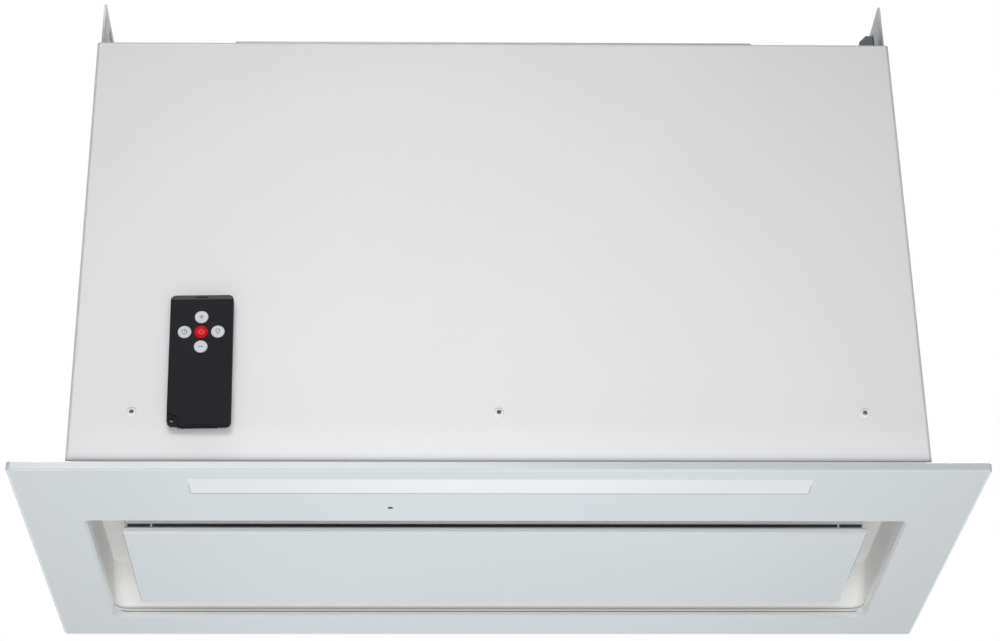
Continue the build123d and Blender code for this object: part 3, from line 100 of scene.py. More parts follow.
class HoodFinishSettings(bpy.types.PropertyGroup):
    steel_white: colour("Steel white", "Powder coat of the folded body", (0.79, 0.785, 0.80))
    tray_white: colour("Tray white", "Paint of the intake tray", (0.86, 0.86, 0.845))
    glass_white: colour("Glass white", "Coating seen through the glass", (0.70, 0.76, 0.785))
    glass_edge: colour("Glass edge", "Ground and polished edges of the glass frame", (0.55, 0.585, 0.60))
    panel_edge: colour("Panel edge", "Polished edges of the suction panel", (0.88, 0.91, 0.91))
    lamp_white: colour("Lamp white", "Milky lamp window", (0.90, 0.915, 0.95))
    zinc: colour("Zinc", "Galvanised sheet", (0.50, 0.52, 0.54))
    aluminium: colour("Aluminium", "Filters and lamp channel", (0.62, 0.63, 0.64))
    foam_black: colour("Foam black", "Foam tape round the suction panel", (0.048, 0.052, 0.056))
    handset_black: colour("Handset black", "Moulded handset case", (0.0036, 0.0034, 0.0062))
    key_grey: colour("Key grey", "Round keys", (0.56, 0.585, 0.62))
    key_red: colour("Key red", "Power key", (0.72, 0.002, 0.012))
    dark_moulding: colour("Dark moulding", "Cord bushing, blower and outlet", (0.045, 0.05, 0.055))


class HoodDetailSettings(bpy.types.PropertyGroup):
    screw_head: length("Screw head", "Radius of the shell screws' heads", 0.0032)
    screw_height: length("Screw height", "Height of the shell screws' heads", 0.0019)
    recess_width: length("Recess width", "Arm width of the cross recess", 0.0011)
    strand: length("Filter strand", "Thickness of the filters' expanded strands", 0.0007)
    screw_pitch: length("Screw pitch", "Distance between the shell screws at the front", 0.227)
    side_pitch: length("Side pitch", "Distance of the side screws from the middle", 0.080)
    sign_line: length("Sign line", "Line width of the signs on the keys", 0.00055)
    soft_edge: length("Soft edge", "Rounding of the moulded pieces' outer edges", 0.0005)


# ------------------------------------------------------------------ shader maths

class Term:
    """A node's output that can be used in Python arithmetic."""

    def __init__(self, finish, socket):
        self.finish = finish
        self.socket = socket

    def _math(self, operation, first, second=None):
        inputs = {0: first} if second is None else {0: first, 1: second}
        return self.finish.node("ShaderNodeMath", {"operation": operation}, inputs)

    def __add__(self, other):
        return self._math("ADD", self, other)

    __radd__ = __add__

    def __sub__(self, other):
        return self._math("SUBTRACT", self, other)

    def __rsub__(self, other):
        return self._math("SUBTRACT", other, self)

    def __mul__(self, other):
        return self._math("MULTIPLY", self, other)

    __rmul__ = __mul__

    def __pow__(self, other):
        return self._math("POWER", self, other)

    def __abs__(self):
        return self._math("ABSOLUTE", self)

    def both(self, other):
        """The lower of two masks."""
        return self._math("MINIMUM", self, other)

    def either(self, other):
        """The higher of two masks."""
        return self._math("MAXIMUM", self, other)

    def above(self, low, high):
        """0 below low, 1 above high, smooth between them."""
        return self.finish.node(
            "ShaderNodeMapRange",
            {"interpolation_type": "SMOOTHSTEP"},
            {"Value": self, "From Min": low, "From Max": high},
            "Result")

    def below(self, high, low):
        """1 below high, 0 above low, smooth between them."""
        return 1 - self.above(high, low)


class Finish:
    """One material's node tree. node() adds any node, and surface() ends the tree."""

    def __init__(self, name):
        self.material = bpy.data.materials.new(name)
        self.material.use_nodes = True
        self.tree = self.material.node_tree
        self.tree.nodes.clear()
        coordinates = self.node("ShaderNodeTexCoord", {}, {}, "Object")
        self.place = coordinates
        self.facing = Term(self, coordinates.socket.node.outputs["Normal"])
        split = self.node("ShaderNodeSeparateXYZ", {}, {0: self.place}, "X").socket.node
        self.x, self.y, self.z = (Term(self, split.outputs[axis]) for axis in "XYZ")
        turned = self.node("ShaderNodeSeparateXYZ", {}, {0: self.facing}, "X").socket.node
        self.nx, self.ny, self.nz = (Term(self, turned.outputs[axis]) for axis in "XYZ")

    def node(self, kind, settings, inputs, output=0):
        made = self.tree.nodes.new(kind)
        for key, value in settings.items():
            setattr(made, key, value)
        for key, value in inputs.items():
            socket = made.inputs[key]
            if isinstance(value, Term):
                self.tree.links.new(value.socket, socket)
            else:
                socket.default_value = value
        return Term(self, made.outputs[output]) if made.outputs else None

    def scaled(self, x, y, z):
        """The place on the object, stretched along each axis."""
        return self.node("ShaderNodeVectorMath", {"operation": "MULTIPLY"}, {0: self.place, 1: (x, y, z)}, "Vector")

    def noise(self, scale, detail=3.0, roughness=0.55, vector=None):
        return self.node(
            "ShaderNodeTexNoise", {"noise_dimensions": "3D"},
            {"Vector": vector or self.place, "Scale": scale, "Detail": detail, "Roughness": roughness}, "Fac")

    def cells(self, scale, output="Distance"):
        return self.node(
            "ShaderNodeTexVoronoi", {"feature": "F1"}, {"Vector": self.place, "Scale": scale}, output)

    def mix(self, factor, first, second):
        """Mixes two colours, each a Term or three numbers."""
        made = self.tree.nodes.new("ShaderNodeMix")
        made.data_type = "RGBA"
        made.blend_type = "MIX"
        made.clamp_factor = True
        for key, value in ((0, factor), (6, first), (7, second)):
            if isinstance(value, Term):
                self.tree.links.new(value.socket, made.inputs[key])
            elif key == 0:
                made.inputs[key].default_value = value
            else:
                made.inputs[key].default_value = (*value[:3], 1)
        return Term(self, made.outputs[2])

    def shade(self, base, factor, amount):
        """The base colour made up to amount darker where factor falls to 0."""
        return self.mix(factor, toned(base, 1 - amount), base)

    def box(self, low, high, soft=0.0001):
        """1 inside a box given by two corners, with None for an open side."""
        mask = None
        for value, start, end in zip((self.x, self.y, self.z), low, high):
            for edge, sign in ((start, 1), (end, -1)):
                if edge is None:
                    continue
                side = value.above(edge - soft, edge + soft)
                side = side if sign > 0 else 1 - side
                mask = side if mask is None else mask * side
        return mask

    def surface(self, base, roughness, metallic=0.0, height=None, distance=0.0001, strength=1.0, specular=0.5,
                emission=None, emission_strength=0.0):
        """Ends the tree: height is a bump of the given distance, and emission is a colour of four numbers."""
        inputs = {"Base Color": base, "Roughness": roughness, "Metallic": metallic, "Specular IOR Level": specular}
        if emission is not None:
            inputs["Emission Color"] = emission
            inputs["Emission Strength"] = emission_strength
        if height is not None:
            inputs["Normal"] = self.node(
                "ShaderNodeBump", {}, {"Height": height, "Distance": distance, "Strength": strength}, "Normal")
        shader = self.node("ShaderNodeBsdfPrincipled", {}, inputs, "BSDF")
        self.node("ShaderNodeOutputMaterial", {}, {"Surface": shader})
        return self.material


# ------------------------------------------------------------------ finishes

def powder_coat(name, base, foot=None, top=None):
    """Sprayed and baked paint: fine orange peel, painted shade on bends, in the seam at the foot and along the top
    edge, and painted light low down.
    """
    finish = Finish(name)
    peel = finish.noise(950, 2.0, 0.5)
    broad = finish.noise(7, 3.0, 0.6)
    shade = finish.shade(base, broad.above(0.25, 0.7), 0.018)
    if foot is not None:
        # painted light low down, a few rubbed patches, painted shade in the seam over the glass, and painted shade on
        # both bends
        shade = finish.mix(finish.z.below(foot + 0.008, foot + 0.034) * 0.55, shade, (0.95, 0.95, 0.96))
        rub = finish.noise(60, 4.0, 0.65, finish.scaled(0.25, 1, 1)).above(0.56, 0.78)
        shade = finish.mix(rub * finish.z.below(foot, foot + 0.05) * 0.05, shade, (0.55, 0.55, 0.56))
        # painted shade: a dark line and a darker band just above the glass
        painted_seam_shade = finish.z.below(foot + 0.0038, foot + 0.0050) * 0.84
        dust_and_shade = finish.z.below(foot + 0.0045, foot + 0.0100) * 0.14
        foot_darkening = finish.z.below(foot + 0.0040, foot + 0.0068) * 0.34
        shade = finish.mix(painted_seam_shade.either(dust_and_shade + foot_darkening), shade, (0.10, 0.11, 0.12))
        # painted shade where the sheet turns round its bends
        painted_bend_shade = abs(finish.nx).above(0.12, 0.5) * abs(finish.nx).below(0.93, 0.99)
        shade = finish.mix(painted_bend_shade * 0.25, shade, (0.30, 0.30, 0.31))
    if top is not None:
        # painted shade along the sheet's top edge
        painted_edge_shade = finish.z.above(top - 0.0011, top - 0.0007)
        shade = finish.mix(painted_edge_shade * 0.40, shade, (0.25, 0.25, 0.26))
    roughness = 0.40 + broad * 0.08
    return finish.surface(shade, roughness, height=peel, distance=0.00003, strength=0.35, specular=0.35)


def painted_heads(name, base, sizes, row):
    """Screw heads painted with the body, made a little lighter as painted light: a painted highlight on what faces
    down, painted shade on what faces up and in the recess.
    """
    finish = Finish(name)
    peel = finish.noise(950, 2.0, 0.5)
    cloud = finish.noise(420, 3.0, 0.6)
    # the body's paint made a little lighter, as painted light
    shade = finish.shade(toned(base, 1.06), cloud.above(0.3, 0.7), 0.04)
    # a painted highlight on what faces down and painted shade on what faces up
    shade = finish.mix(finish.nz.below(-0.45, -0.1), shade, (0.97, 0.97, 0.98))
    shade = finish.mix(finish.nz.above(0.1, 0.6) * 0.9, shade, (0.12, 0.12, 0.13))
    # how far a point stands off the front or rear wall, and off a side wall
    front = (finish.y * -1 + BODY_LOW.y).either(finish.y - BODY_HIGH.y)
    side = (finish.x * -1 + BODY_LOW.x).either(finish.x - BODY_HIGH.x)
    # its distance from the middle of the nearest head, within which the recess lies
    along = abs(finish.x).both(abs(abs(finish.x) - sizes.screw_pitch))
    along = along.both(abs(abs(finish.y) - sizes.side_pitch) + side.below(-0.0060, -0.0055))
    reach = (along * along + (finish.z - row) * (finish.z - row)) ** 0.5
    recess = reach.below(sizes.screw_head * 0.46, sizes.screw_head * 0.52)
    recess = recess * front.either(side).below(sizes.screw_height * 0.90, sizes.screw_height * 0.97)
    # painted shade in the cross recess
    shade = finish.mix(recess * 0.76, shade, (0.14, 0.14, 0.15))
    return finish.surface(shade, 0.40 + cloud * 0.08, height=peel, distance=0.00003, strength=0.35, specular=0.35)


def coated_glass(name, settings, node, edge_colour, bevel_colour, opening=False):
    """White coating behind clear glass with bright polished rims; the frame has its opening and lamp window too."""
    finish = Finish(name)
    low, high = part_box(node)
    cloud = finish.noise(5, 2.0, 0.5)
    base = finish.shade(settings.glass_white, cloud.above(0.3, 0.7), 0.02)
    # painted shade makes it greyer towards both ends, and it is brighter where the coating stops short of the edge
    painted_side_shade = abs(finish.x).above(0.10, 0.31)
    base = finish.mix(painted_side_shade * 0.6, base, toned(settings.glass_white, 0.89, 0.85, 0.85))
    inside = finish.box((low.x + 0.0017, low.y + 0.0017, None), (high.x - 0.0017, high.y - 0.0017, None), 0.0003)
    base = finish.mix((1 - inside) * 0.8, base, toned(settings.glass_white, 1.18))
    slant = abs(finish.nz).above(0.2, 0.3) * abs(finish.nz).below(0.9, 0.97)
    edge = abs(finish.nz).below(0.2, 0.3)
    if opening:
        # the clear lamp window, with painted shade that dims it towards its ends, and painted shadow lines at its rear
        # and its ends
        start = LAMP_LOW.x + 0.0028, LAMP_LOW.y
        end = LAMP_HIGH.x - 0.0011, LAMP_HIGH.y
        above = low.z + 0.001
        window = finish.box((*start, None), (*end, above), 0.00015)
        rim = finish.box((start[0], end[1] - 0.0007, None), (end[0], end[1] + 0.0003, above), 0.0002)
        for side in (start[0], end[0]):
            rim = rim.either(finish.box((side - 0.0005, start[1] + 0.008, None), (side + 0.0005, end[1], above)) * 0.5)
        ends = abs(finish.x).above(0.02, 0.19)
        shaded_window_tone = finish.mix(ends, settings.lamp_white, toned(settings.lamp_white, 0.88, 0.91, 0.91))
        base = finish.mix(window, base, shaded_window_tone)
        # painted shadow lines along the window's rear and ends
        base = finish.mix(rim * 0.7, base, (0.22, 0.22, 0.26))
    else:
        # a painted shadow line along the panel's rear
        base = finish.mix(finish.y.above(high.y - 0.0009, high.y - 0.0006) * 0.6, base, (0.30, 0.30, 0.30))
    base = finish.mix(edge, base, edge_colour)
    base = finish.mix(slant, base, bevel_colour)
    if opening:
        # the opening's edges are white, and at the rear a painted shadow line runs along them
        hole = finish.box((OPENING_LOW.x - 0.0025, OPENING_LOW.y - 0.0025, None),
                          (OPENING_HIGH.x + 0.0025, OPENING_HIGH.y + 0.0025, None), 0.0003)
        base = finish.mix(edge * hole, base, (0.88, 0.90, 0.90))
        base = finish.mix(slant * hole, base, (0.61, 0.65, 0.66))
        rear = edge * hole * finish.y.above(OPENING_HIGH.y - 0.002, OPENING_HIGH.y - 0.001)
        base = finish.mix(rear * finish.z.above(low.z + 0.0042, low.z + 0.0044), base, settings.tray_white)
        line = finish.z.above(low.z + 0.0037, low.z + 0.0039) * finish.z.below(low.z + 0.0044, low.z + 0.0046)
        base = finish.mix(rear * line * 0.8, base, (0.12, 0.12, 0.12))
    smear = finish.noise(18, 4.0, 0.6).above(0.45, 0.75)
    roughness = 0.10 + smear * 0.06 + edge * 0.10
    grind = finish.noise(1400, 2.0, 0.5)
    return finish.surface(base, roughness, height=grind * edge, distance=0.00002, strength=0.3, specular=0.5)


def galvanised(name, base, spangle=90, brushed=False):
    """Zinc on sheet steel: flat spangles of slightly different grey."""
    finish = Finish(name)
    tint = finish.cells(spangle, "Color")
    grey = finish.node("ShaderNodeRGBToBW", {}, {0: tint}, "Val")
    dust_and_shade = finish.noise(11, 4.0, 0.6)
    shade = finish.mix(grey * 0.5 + dust_and_shade * 0.3, toned(base, 0.84), toned(base, 1.12))
    roughness = 0.34 + grey * 0.14 + dust_and_shade * 0.08
    if brushed:
        lines = finish.noise(1, 3.0, 0.6, finish.scaled(60, 1600, 1600))
        return finish.surface(shade, roughness, 1.0, height=lines, distance=0.00002, strength=0.3)
    return finish.surface(shade, roughness, 1.0, height=grey, distance=0.00001, strength=0.2)


def plain_metal(name, base, roughness=0.3, grain=700):
    """Plated or drawn metal with faint turning marks and dulled patches."""
    finish = Finish(name)
    marks = finish.noise(grain, 2.0, 0.5)
    dull = finish.noise(40, 3.0, 0.6)
    shade = finish.shade(base, dull.above(0.3, 0.7), 0.12)
    return finish.surface(shade, roughness + dull * 0.14, 1.0, height=marks, distance=0.00001, strength=0.3)


def moulded(name, base, roughness=0.45, grain=1500, depth=0.00002, worn=0.0, specular=0.5):
    """Spark-eroded moulded plastic."""
    finish = Finish(name)
    skin = finish.cells(grain)
    cloud = finish.noise(25, 3.0, 0.6)
    shade = finish.shade(base, cloud.above(0.3, 0.7), 0.06)
    if worn:
        shade = finish.mix(cloud.above(0.62, 0.8) * worn, shade, tuple(min(1, c * 2.2 + 0.02) for c in base))
    return finish.surface(shade, roughness + cloud * 0.08, height=skin, distance=depth, strength=0.5,
                          specular=specular)


def hanging_plate(name, base, node, foot):
    """Galvanised plate with painted shade, darker where it leaves the top; also darker towards its rear, with a darker
    patch low at its rear.
    """
    finish = Finish(name)
    low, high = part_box(node)
    grey = finish.node("ShaderNodeRGBToBW", {}, {0: finish.cells(170, "Color")}, "Val")
    streak = finish.noise(30, 3.0, 0.6, finish.scaled(1, 1, 0.15))
    # painted shade: darker where the plate leaves the top, lighter towards its free end
    painted_height_shade = finish.z.above(foot, high.z)
    shade = finish.mix(painted_height_shade, toned(base, 0.36), toned(base, 0.98))
    # darker towards its rear
    shade = finish.mix(finish.y.above(low.y, low.y + 0.05) * 0.45, shade, toned(base, 0.30))
    # a darker patch low at its rear
    foot_darkening = finish.z.below(foot + 0.0035, foot + 0.0050) * finish.y.above(low.y + 0.008, low.y + 0.014)
    shade = finish.mix(foot_darkening * 0.6, shade, toned(base, 0.12))
    shade = finish.mix(grey * 0.20 + streak * 0.15, shade, toned(base, 0.45))
    # its edges carry the same painted shade by height
    edge = finish.mix(painted_height_shade, (0.20, 0.205, 0.21), (0.42, 0.43, 0.44))
    shade = finish.mix(abs(finish.nx).below(0.3, 0.5), shade, edge)
    return finish.surface(shade, 0.42 + grey * 0.1, 0.8, height=grey, distance=0.00001, strength=0.2)


def cable_clamp(name, base, node):
    """Moulded clamp for the mains cable, with painted shade along its border."""
    finish = Finish(name)
    low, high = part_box(node)
    skin = finish.cells(1500)
    cloud = finish.noise(25, 3.0, 0.6)
    middle = finish.box((low.x + 0.0009, None, None), (high.x - 0.0011, None, high.z - 0.0007), 0.0003)
    shade = finish.shade(base, cloud.above(0.3, 0.7), 0.06)
    # painted shade along the clamp's border
    shade = finish.mix((1 - middle) * 0.6, shade, (0.012, 0.014, 0.016))
    return finish.surface(shade, 0.42 + cloud * 0.08, height=skin, distance=0.00002, strength=0.5)


def foam(name, base):
    """Closed-cell foam tape, greyer towards its ends."""
    finish = Finish(name)
    pores = finish.cells(1300)
    wave = finish.noise(35, 3.0, 0.6)
    ends = abs(finish.x).above(0.15, 0.24)
    shade = finish.mix(ends * 0.7 + wave.above(0.55, 0.8) * 0.3, base, toned(base, 1.9))
    return finish.surface(shade, 0.85, height=pores, distance=0.0001, strength=0.6, specular=0.1)


def handset_case(name, base, place):
    """Handset case: satin black, with painted shade along its rim, a painted reflection on its paler end, and a dark
    window in that.
    """
    finish = Finish(name)
    centre, across, up, width, height = place
    right, above = finish.x - centre.x, finish.z - centre.z
    u = right * across.x + above * across.z
    v = right * up.x + above * up.z
    skin = finish.cells(2200)
    cloud = finish.noise(25, 3.0, 0.6)
    front = finish.ny.below(-0.6, -0.3)
    end = v.above(height / 2 - 0.0037, height / 2 - 0.0035) * front
    window = abs(u).below(0.0036, 0.0040) * abs(v - (height / 2 - 0.0018)).below(0.0005, 0.0007)
    painted_side_shade = abs(u).above(width / 2 - 0.0013, width / 2 - 0.0009)
    foot = v.below(-height / 2 + 0.0009, -height / 2 + 0.0013)
    rim = painted_side_shade.either(foot).either(1 - front)
    shade = finish.shade(base, cloud.above(0.3, 0.7), 0.08)
    # painted shade on the rim, the sides and the faces that turn away from the front
    shade = finish.mix(rim * 0.7, shade, (0.002, 0.002, 0.003))
    # a painted reflection on the tilted end, which is paler
    shade = finish.mix(end, shade, (0.060, 0.060, 0.063))
    shade = finish.mix(window * end, shade, (0.004, 0.003, 0.005))
    roughness = 0.42 + cloud * 0.08 - window * end * 0.3
    return finish.surface(shade, roughness, height=skin, distance=0.00001, strength=0.4, specular=0.09)


def circuit_board(name):
    """Green solder resist over copper tracks, with bright pads."""
    finish = Finish(name)
    tracks = finish.node(
        "ShaderNodeTexBrick", {"offset": 0.37, "offset_frequency": 2},
        {"Vector": finish.place, "Scale": 190.0, "Mortar Size": 0.018, "Color1": (0, 0, 0, 1), "Color2": (0, 0, 0, 1),
         "Mortar": (1, 1, 1, 1)}, "Color")
    lines = finish.node("ShaderNodeRGBToBW", {}, {0: tracks}, "Val")
    shade = finish.mix(lines, (0.012, 0.085, 0.035), (0.03, 0.16, 0.07))
    pads = finish.cells(330).below(0.16, 0.2)
    shade = finish.mix(pads, shade, (0.55, 0.55, 0.52))
    return finish.surface(shade, 0.32 + lines * 0.1, pads * 0.9, height=lines, distance=0.00003, strength=0.5)


def sealant(name, base):
    """Wiped bead of sealant between glass and steel."""
    finish = Finish(name)
    wave = finish.noise(220, 3.0, 0.6)
    return finish.surface(finish.shade(base, wave, 0.08), 0.62, height=wave, distance=0.0002, strength=0.4)


def milky(name, base):
    """Opal plastic with rows of tiny prisms and a faint painted glow."""
    finish = Finish(name)
    ribs = finish.node(
        "ShaderNodeTexWave", {"wave_type": "BANDS", "bands_direction": "X"},
        {"Vector": finish.place, "Scale": 160.0, "Distortion": 0.0}, "Fac")
    # a faint emission paints a glow onto the unlit diffuser
    return finish.surface(finish.shade(base, ribs, 0.03), 0.35, height=ribs, distance=0.00005, strength=0.4,
                          emission=(*base[:3], 1), emission_strength=0.08)


def dress(node, material):
    """Gives a CAD node its finish."""
    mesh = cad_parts[node].data
    mesh.materials.clear()
    mesh.materials.append(material)


# ------------------------------------------------------------------ shaping helpers

def deselect():
    """Leaves edit mode and selects nothing, so that the next operator acts on the new piece alone."""
    if bpy.context.object and bpy.context.object.mode != "OBJECT":
        bpy.ops.object.mode_set(mode="OBJECT")
    bpy.ops.object.select_all(action="DESELECT")


def pick(*objects):
    """Selects these objects alone and makes the first one active."""
    deselect()
    for piece in objects:
        piece.select_set(True)
    bpy.context.view_layer.objects.active = objects[0]
    return objects[0]


def mark(piece, test, kind="faces"):
    """In edit mode, selects the faces or edges whose middle and normal pass the test."""
    mode = {"faces": "FACE", "edges": "EDGE"}[kind]
    bpy.ops.mesh.select_mode(type=mode)
    bpy.ops.mesh.select_all(action="DESELECT")
    mesh = bmesh.from_edit_mesh(piece.data)
    found = 0
    for part in getattr(mesh, kind):
        middle = part.calc_center_median() if kind == "faces" else (part.verts[0].co + part.verts[1].co) / 2
        normal = part.normal if kind == "faces" else (part.verts[1].co - part.verts[0].co).normalized()
        if test(middle, normal):
            part.select_set(True)
            found += 1
    mesh.select_flush_mode()
    bmesh.update_edit_mesh(piece.data)
    if not found:
        raise RuntimeError(f"nothing to shape on {piece.name}")


def carry(piece, name, body, slot, material, replaces=()):
    """Names a finished piece, puts its place into its mesh, and says what it rides on."""
    pick(piece)
    bpy.ops.object.transform_apply(location=True, rotation=True, scale=True)
    piece.name = name
    piece.data.name = name
    piece.data.materials.clear()
    piece.data.materials.append(material)
    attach(piece, body)
    if replaces:
        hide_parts(*replaces)
    return piece


def apply_modifier(piece, kind, **settings):
    """Adds one modifier and applies it at once."""
    pick(piece)
    modifier = piece.modifiers.new(kind.title(), kind)
    for key, value in settings.items():
        setattr(modifier, key, value)
    bpy.ops.object.modifier_apply(modifier=modifier.name)


def join(pieces):
    """Joins the pieces into one mesh."""
    pick(*pieces)
    if len(pieces) > 1:
        bpy.ops.object.join()
    return bpy.context.view_layer.objects.active


def copy_of(piece, matrix):
    """A copy with a mesh of its own, at the place that matrix says."""
    twin = piece.copy()
    twin.data = piece.data.copy()
    bpy.context.scene.collection.objects.link(twin)
    twin.matrix_world = matrix
    return twin


def discard(*pieces):
    for piece in pieces:
        bpy.data.objects.remove(piece)


def softened(node, width, body, slot, material, segments=2, angle=35):
    """A copy of a CAD node with its sharp edges rounded. It stands for the node."""
    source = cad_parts[node]
    piece = source.copy()
    piece.data = source.data.copy()
    piece.parent = None
    piece.matrix_world = Matrix.Identity(4)
    bpy.context.scene.collection.objects.link(piece)
    pick(piece)
    bpy.ops.object.mode_set(mode="EDIT")
    bpy.ops.mesh.select_all(action="SELECT")
    bpy.ops.mesh.remove_doubles(threshold=0.000002)
    bpy.ops.mesh.dissolve_limited(angle_limit=math.radians(0.6))
    bpy.ops.object.mode_set(mode="OBJECT")
    apply_modifier(piece, "BEVEL", width=width, segments=segments, limit_method="ANGLE",
                   angle_limit=math.radians(angle), use_clamp_overlap=True, miter_outer="MITER_ARC")
    pick(piece)
    bpy.ops.object.shade_smooth_by_angle(angle=math.radians(32))
    apply_modifier(piece, "WEIGHTED_NORMAL", mode="FACE_AREA", weight=100, keep_sharp=True)
    return carry(piece, f"{node}_rounded", body, slot, material, (node,))


# ------------------------------------------------------------------ places worked out from the CAD parts' boxes

def middle_of(node):
    low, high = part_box(node)
    return (Vector(low) + Vector(high)) / 2


def handset_matrix():
    """The handset's own frame: X across it, Y up it, Z out of its face, in the plane of the CAD's keys."""
    power, power_low = middle_of("key_power"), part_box("key_power")[0]
    up = power - middle_of("key_minus")
    up.y = 0
    up.normalize()
    out = Vector((0, -1, 0))
    across = up.cross(out)
    frame_matrix = Matrix((across, up, out)).transposed().to_4x4()
    frame_matrix.translation = (power.x, power_low.y, power.z)
    return frame_matrix


def handset_place():
    """The handset's middle, its own directions, and its width and height worked out from its turned box."""
    turned = handset_matrix()
    across, up = turned.col[0].xyz, turned.col[1].xyz
    low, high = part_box("handset_face")
    wide, tall = high.x - low.x, high.z - low.z
    cosine, sine = across.x, abs(across.z)
    spread = cosine ** 2 - sine ** 2
    width = (wide * cosine - tall * sine) / spread
    height = (tall * cosine - wide * sine) / spread
    return middle_of("handset_face"), across, up, width, height


# ------------------------------------------------------------------ operators

class HOOD_OT_stage(bpy.types.Operator):
    """Pale, faintly lit floor, soft lights, white surroundings and the camera"""

    bl_idname = "hood.stage"
    bl_label = "Stage"

    def execute(self, context):
        deselect()
        bpy.ops.mesh.primitive_plane_add(size=FLOOR_SIZE, location=(0, 0, -FLOOR_DROP))
        floor = context.object
        bpy.ops.object.mode_set(mode="EDIT")
        bpy.ops.mesh.subdivide(number_cuts=3)
        bpy.ops.object.mode_set(mode="OBJECT")
        bpy.ops.object.transform_apply(location=True, rotation=True, scale=True)
        floor.name = "studio_floor"
        paper = Finish("studio_paper")
        grain = paper.noise(300, 2.0, 0.5)
        floor.data.materials.append(paper.surface(
            paper.shade((0.84, 0.84, 0.84), grain, 0.01), 0.9, height=grain, distance=0.0001, strength=0.1,
            emission=(1, 1, 1, 1), emission_strength=0.15))

        for lamp in LAMPS:
            self.lamp(*lamp)
        self.surroundings(context)
        self.camera(context)
        return {"FINISHED"}

    @staticmethod
    def lamp(name, place, aim, size, power, spread):
        """A soft area lamp that the camera doesn't see."""
        light = bpy.data.lights.new(name, "AREA")
        light.size = size
        light.energy = power
        light.spread = math.radians(spread)
        lamp = bpy.data.objects.new(name, light)
        lamp.visible_camera = False
        bpy.context.scene.collection.objects.link(lamp)
        lamp.location = place
        lamp.rotation_euler = (Vector(aim) - Vector(place)).to_track_quat("-Z", "Y").to_euler()

    @staticmethod
    def surroundings(context):
        """White for the camera and for reflections, and a faint even light for everything else."""
        world = context.scene.world or bpy.data.worlds.new("studio")
        context.scene.world = world
        world.use_nodes = True
        tree = world.node_tree
        tree.nodes.clear()
        path = tree.nodes.new("ShaderNodeLightPath")
        seen = tree.nodes.new("ShaderNodeMath")
        seen.operation = "MAXIMUM"
        tree.links.new(path.outputs["Is Camera Ray"], seen.inputs[0])
        clear = tree.nodes.new("ShaderNodeMath")
        clear.operation = "MAXIMUM"
        tree.links.new(path.outputs["Is Glossy Ray"], clear.inputs[0])
        tree.links.new(path.outputs["Is Transmission Ray"], clear.inputs[1])
        tree.links.new(clear.outputs[0], seen.inputs[1])
        light = tree.nodes.new("ShaderNodeBackground")
        light.inputs["Color"].default_value = (1, 1, 1, 1)
        light.inputs["Strength"].default_value = WORLD_STRENGTH
        white = tree.nodes.new("ShaderNodeBackground")
        white.inputs["Color"].default_value = (1, 1, 1, 1)
        white.inputs["Strength"].default_value = 1.0
        mixed = tree.nodes.new("ShaderNodeMixShader")
        tree.links.new(seen.outputs[0], mixed.inputs[0])
        tree.links.new(light.outputs[0], mixed.inputs[1])
        tree.links.new(white.outputs[0], mixed.inputs[2])
        end = tree.nodes.new("ShaderNodeOutputWorld")
        tree.links.new(mixed.outputs[0], end.inputs["Surface"])

    @staticmethod
    def camera(context):
        """The photograph's viewpoint, solved from the glass's corners and edges."""
        data = bpy.data.cameras.new("photo_camera")
        data.sensor_width = CAMERA_SENSOR
        data.lens = CAMERA_LENS
        data.shift_x = CAMERA_SHIFT
        data.clip_end = 50
        camera = bpy.data.objects.new("photo_camera", data)
        context.scene.collection.objects.link(camera)
        first, second, third = (Matrix.Rotation(math.radians(angle), 3, axis) for angle, axis in CAMERA_TURN)
        turn = first @ second @ third
        right, ahead, up = turn.col
        pose = Matrix((right, up, -ahead)).transposed().to_4x4()
        pose.translation = CAMERA_PLACE
        camera.matrix_world = pose
        context.scene.camera = camera
        context.scene.view_settings.view_transform = "Standard"


class HOOD_OT_glass(bpy.types.Operator):
    """White glass frame with its lamp window, and the suction panel"""

    bl_idname = "hood.glass"
    bl_label = "Glass"

    def execute(self, context):
        settings = context.scene.hood_finish
        dress("glass_frame", coated_glass("frame_glass", settings, "glass_frame", settings.glass_edge,
                                          (0.59, 0.63, 0.645), opening=True))
        dress("panel_glass", coated_glass("panel_glass_coat", settings, "panel_glass", settings.panel_edge,
                                          (0.64, 0.68, 0.70)))
        dress("glass_bond", sealant("glass_sealant", (0.74, 0.74, 0.72)))
        dress("panel_tape", foam("foam_tape", settings.foam_black))
        dress("led_diffuser", milky("opal_diffuser", settings.lamp_white))
        dress("ir_lens", moulded("receiver_window", (0.03, 0.012, 0.02), 0.12))
        return {"FINISHED"}


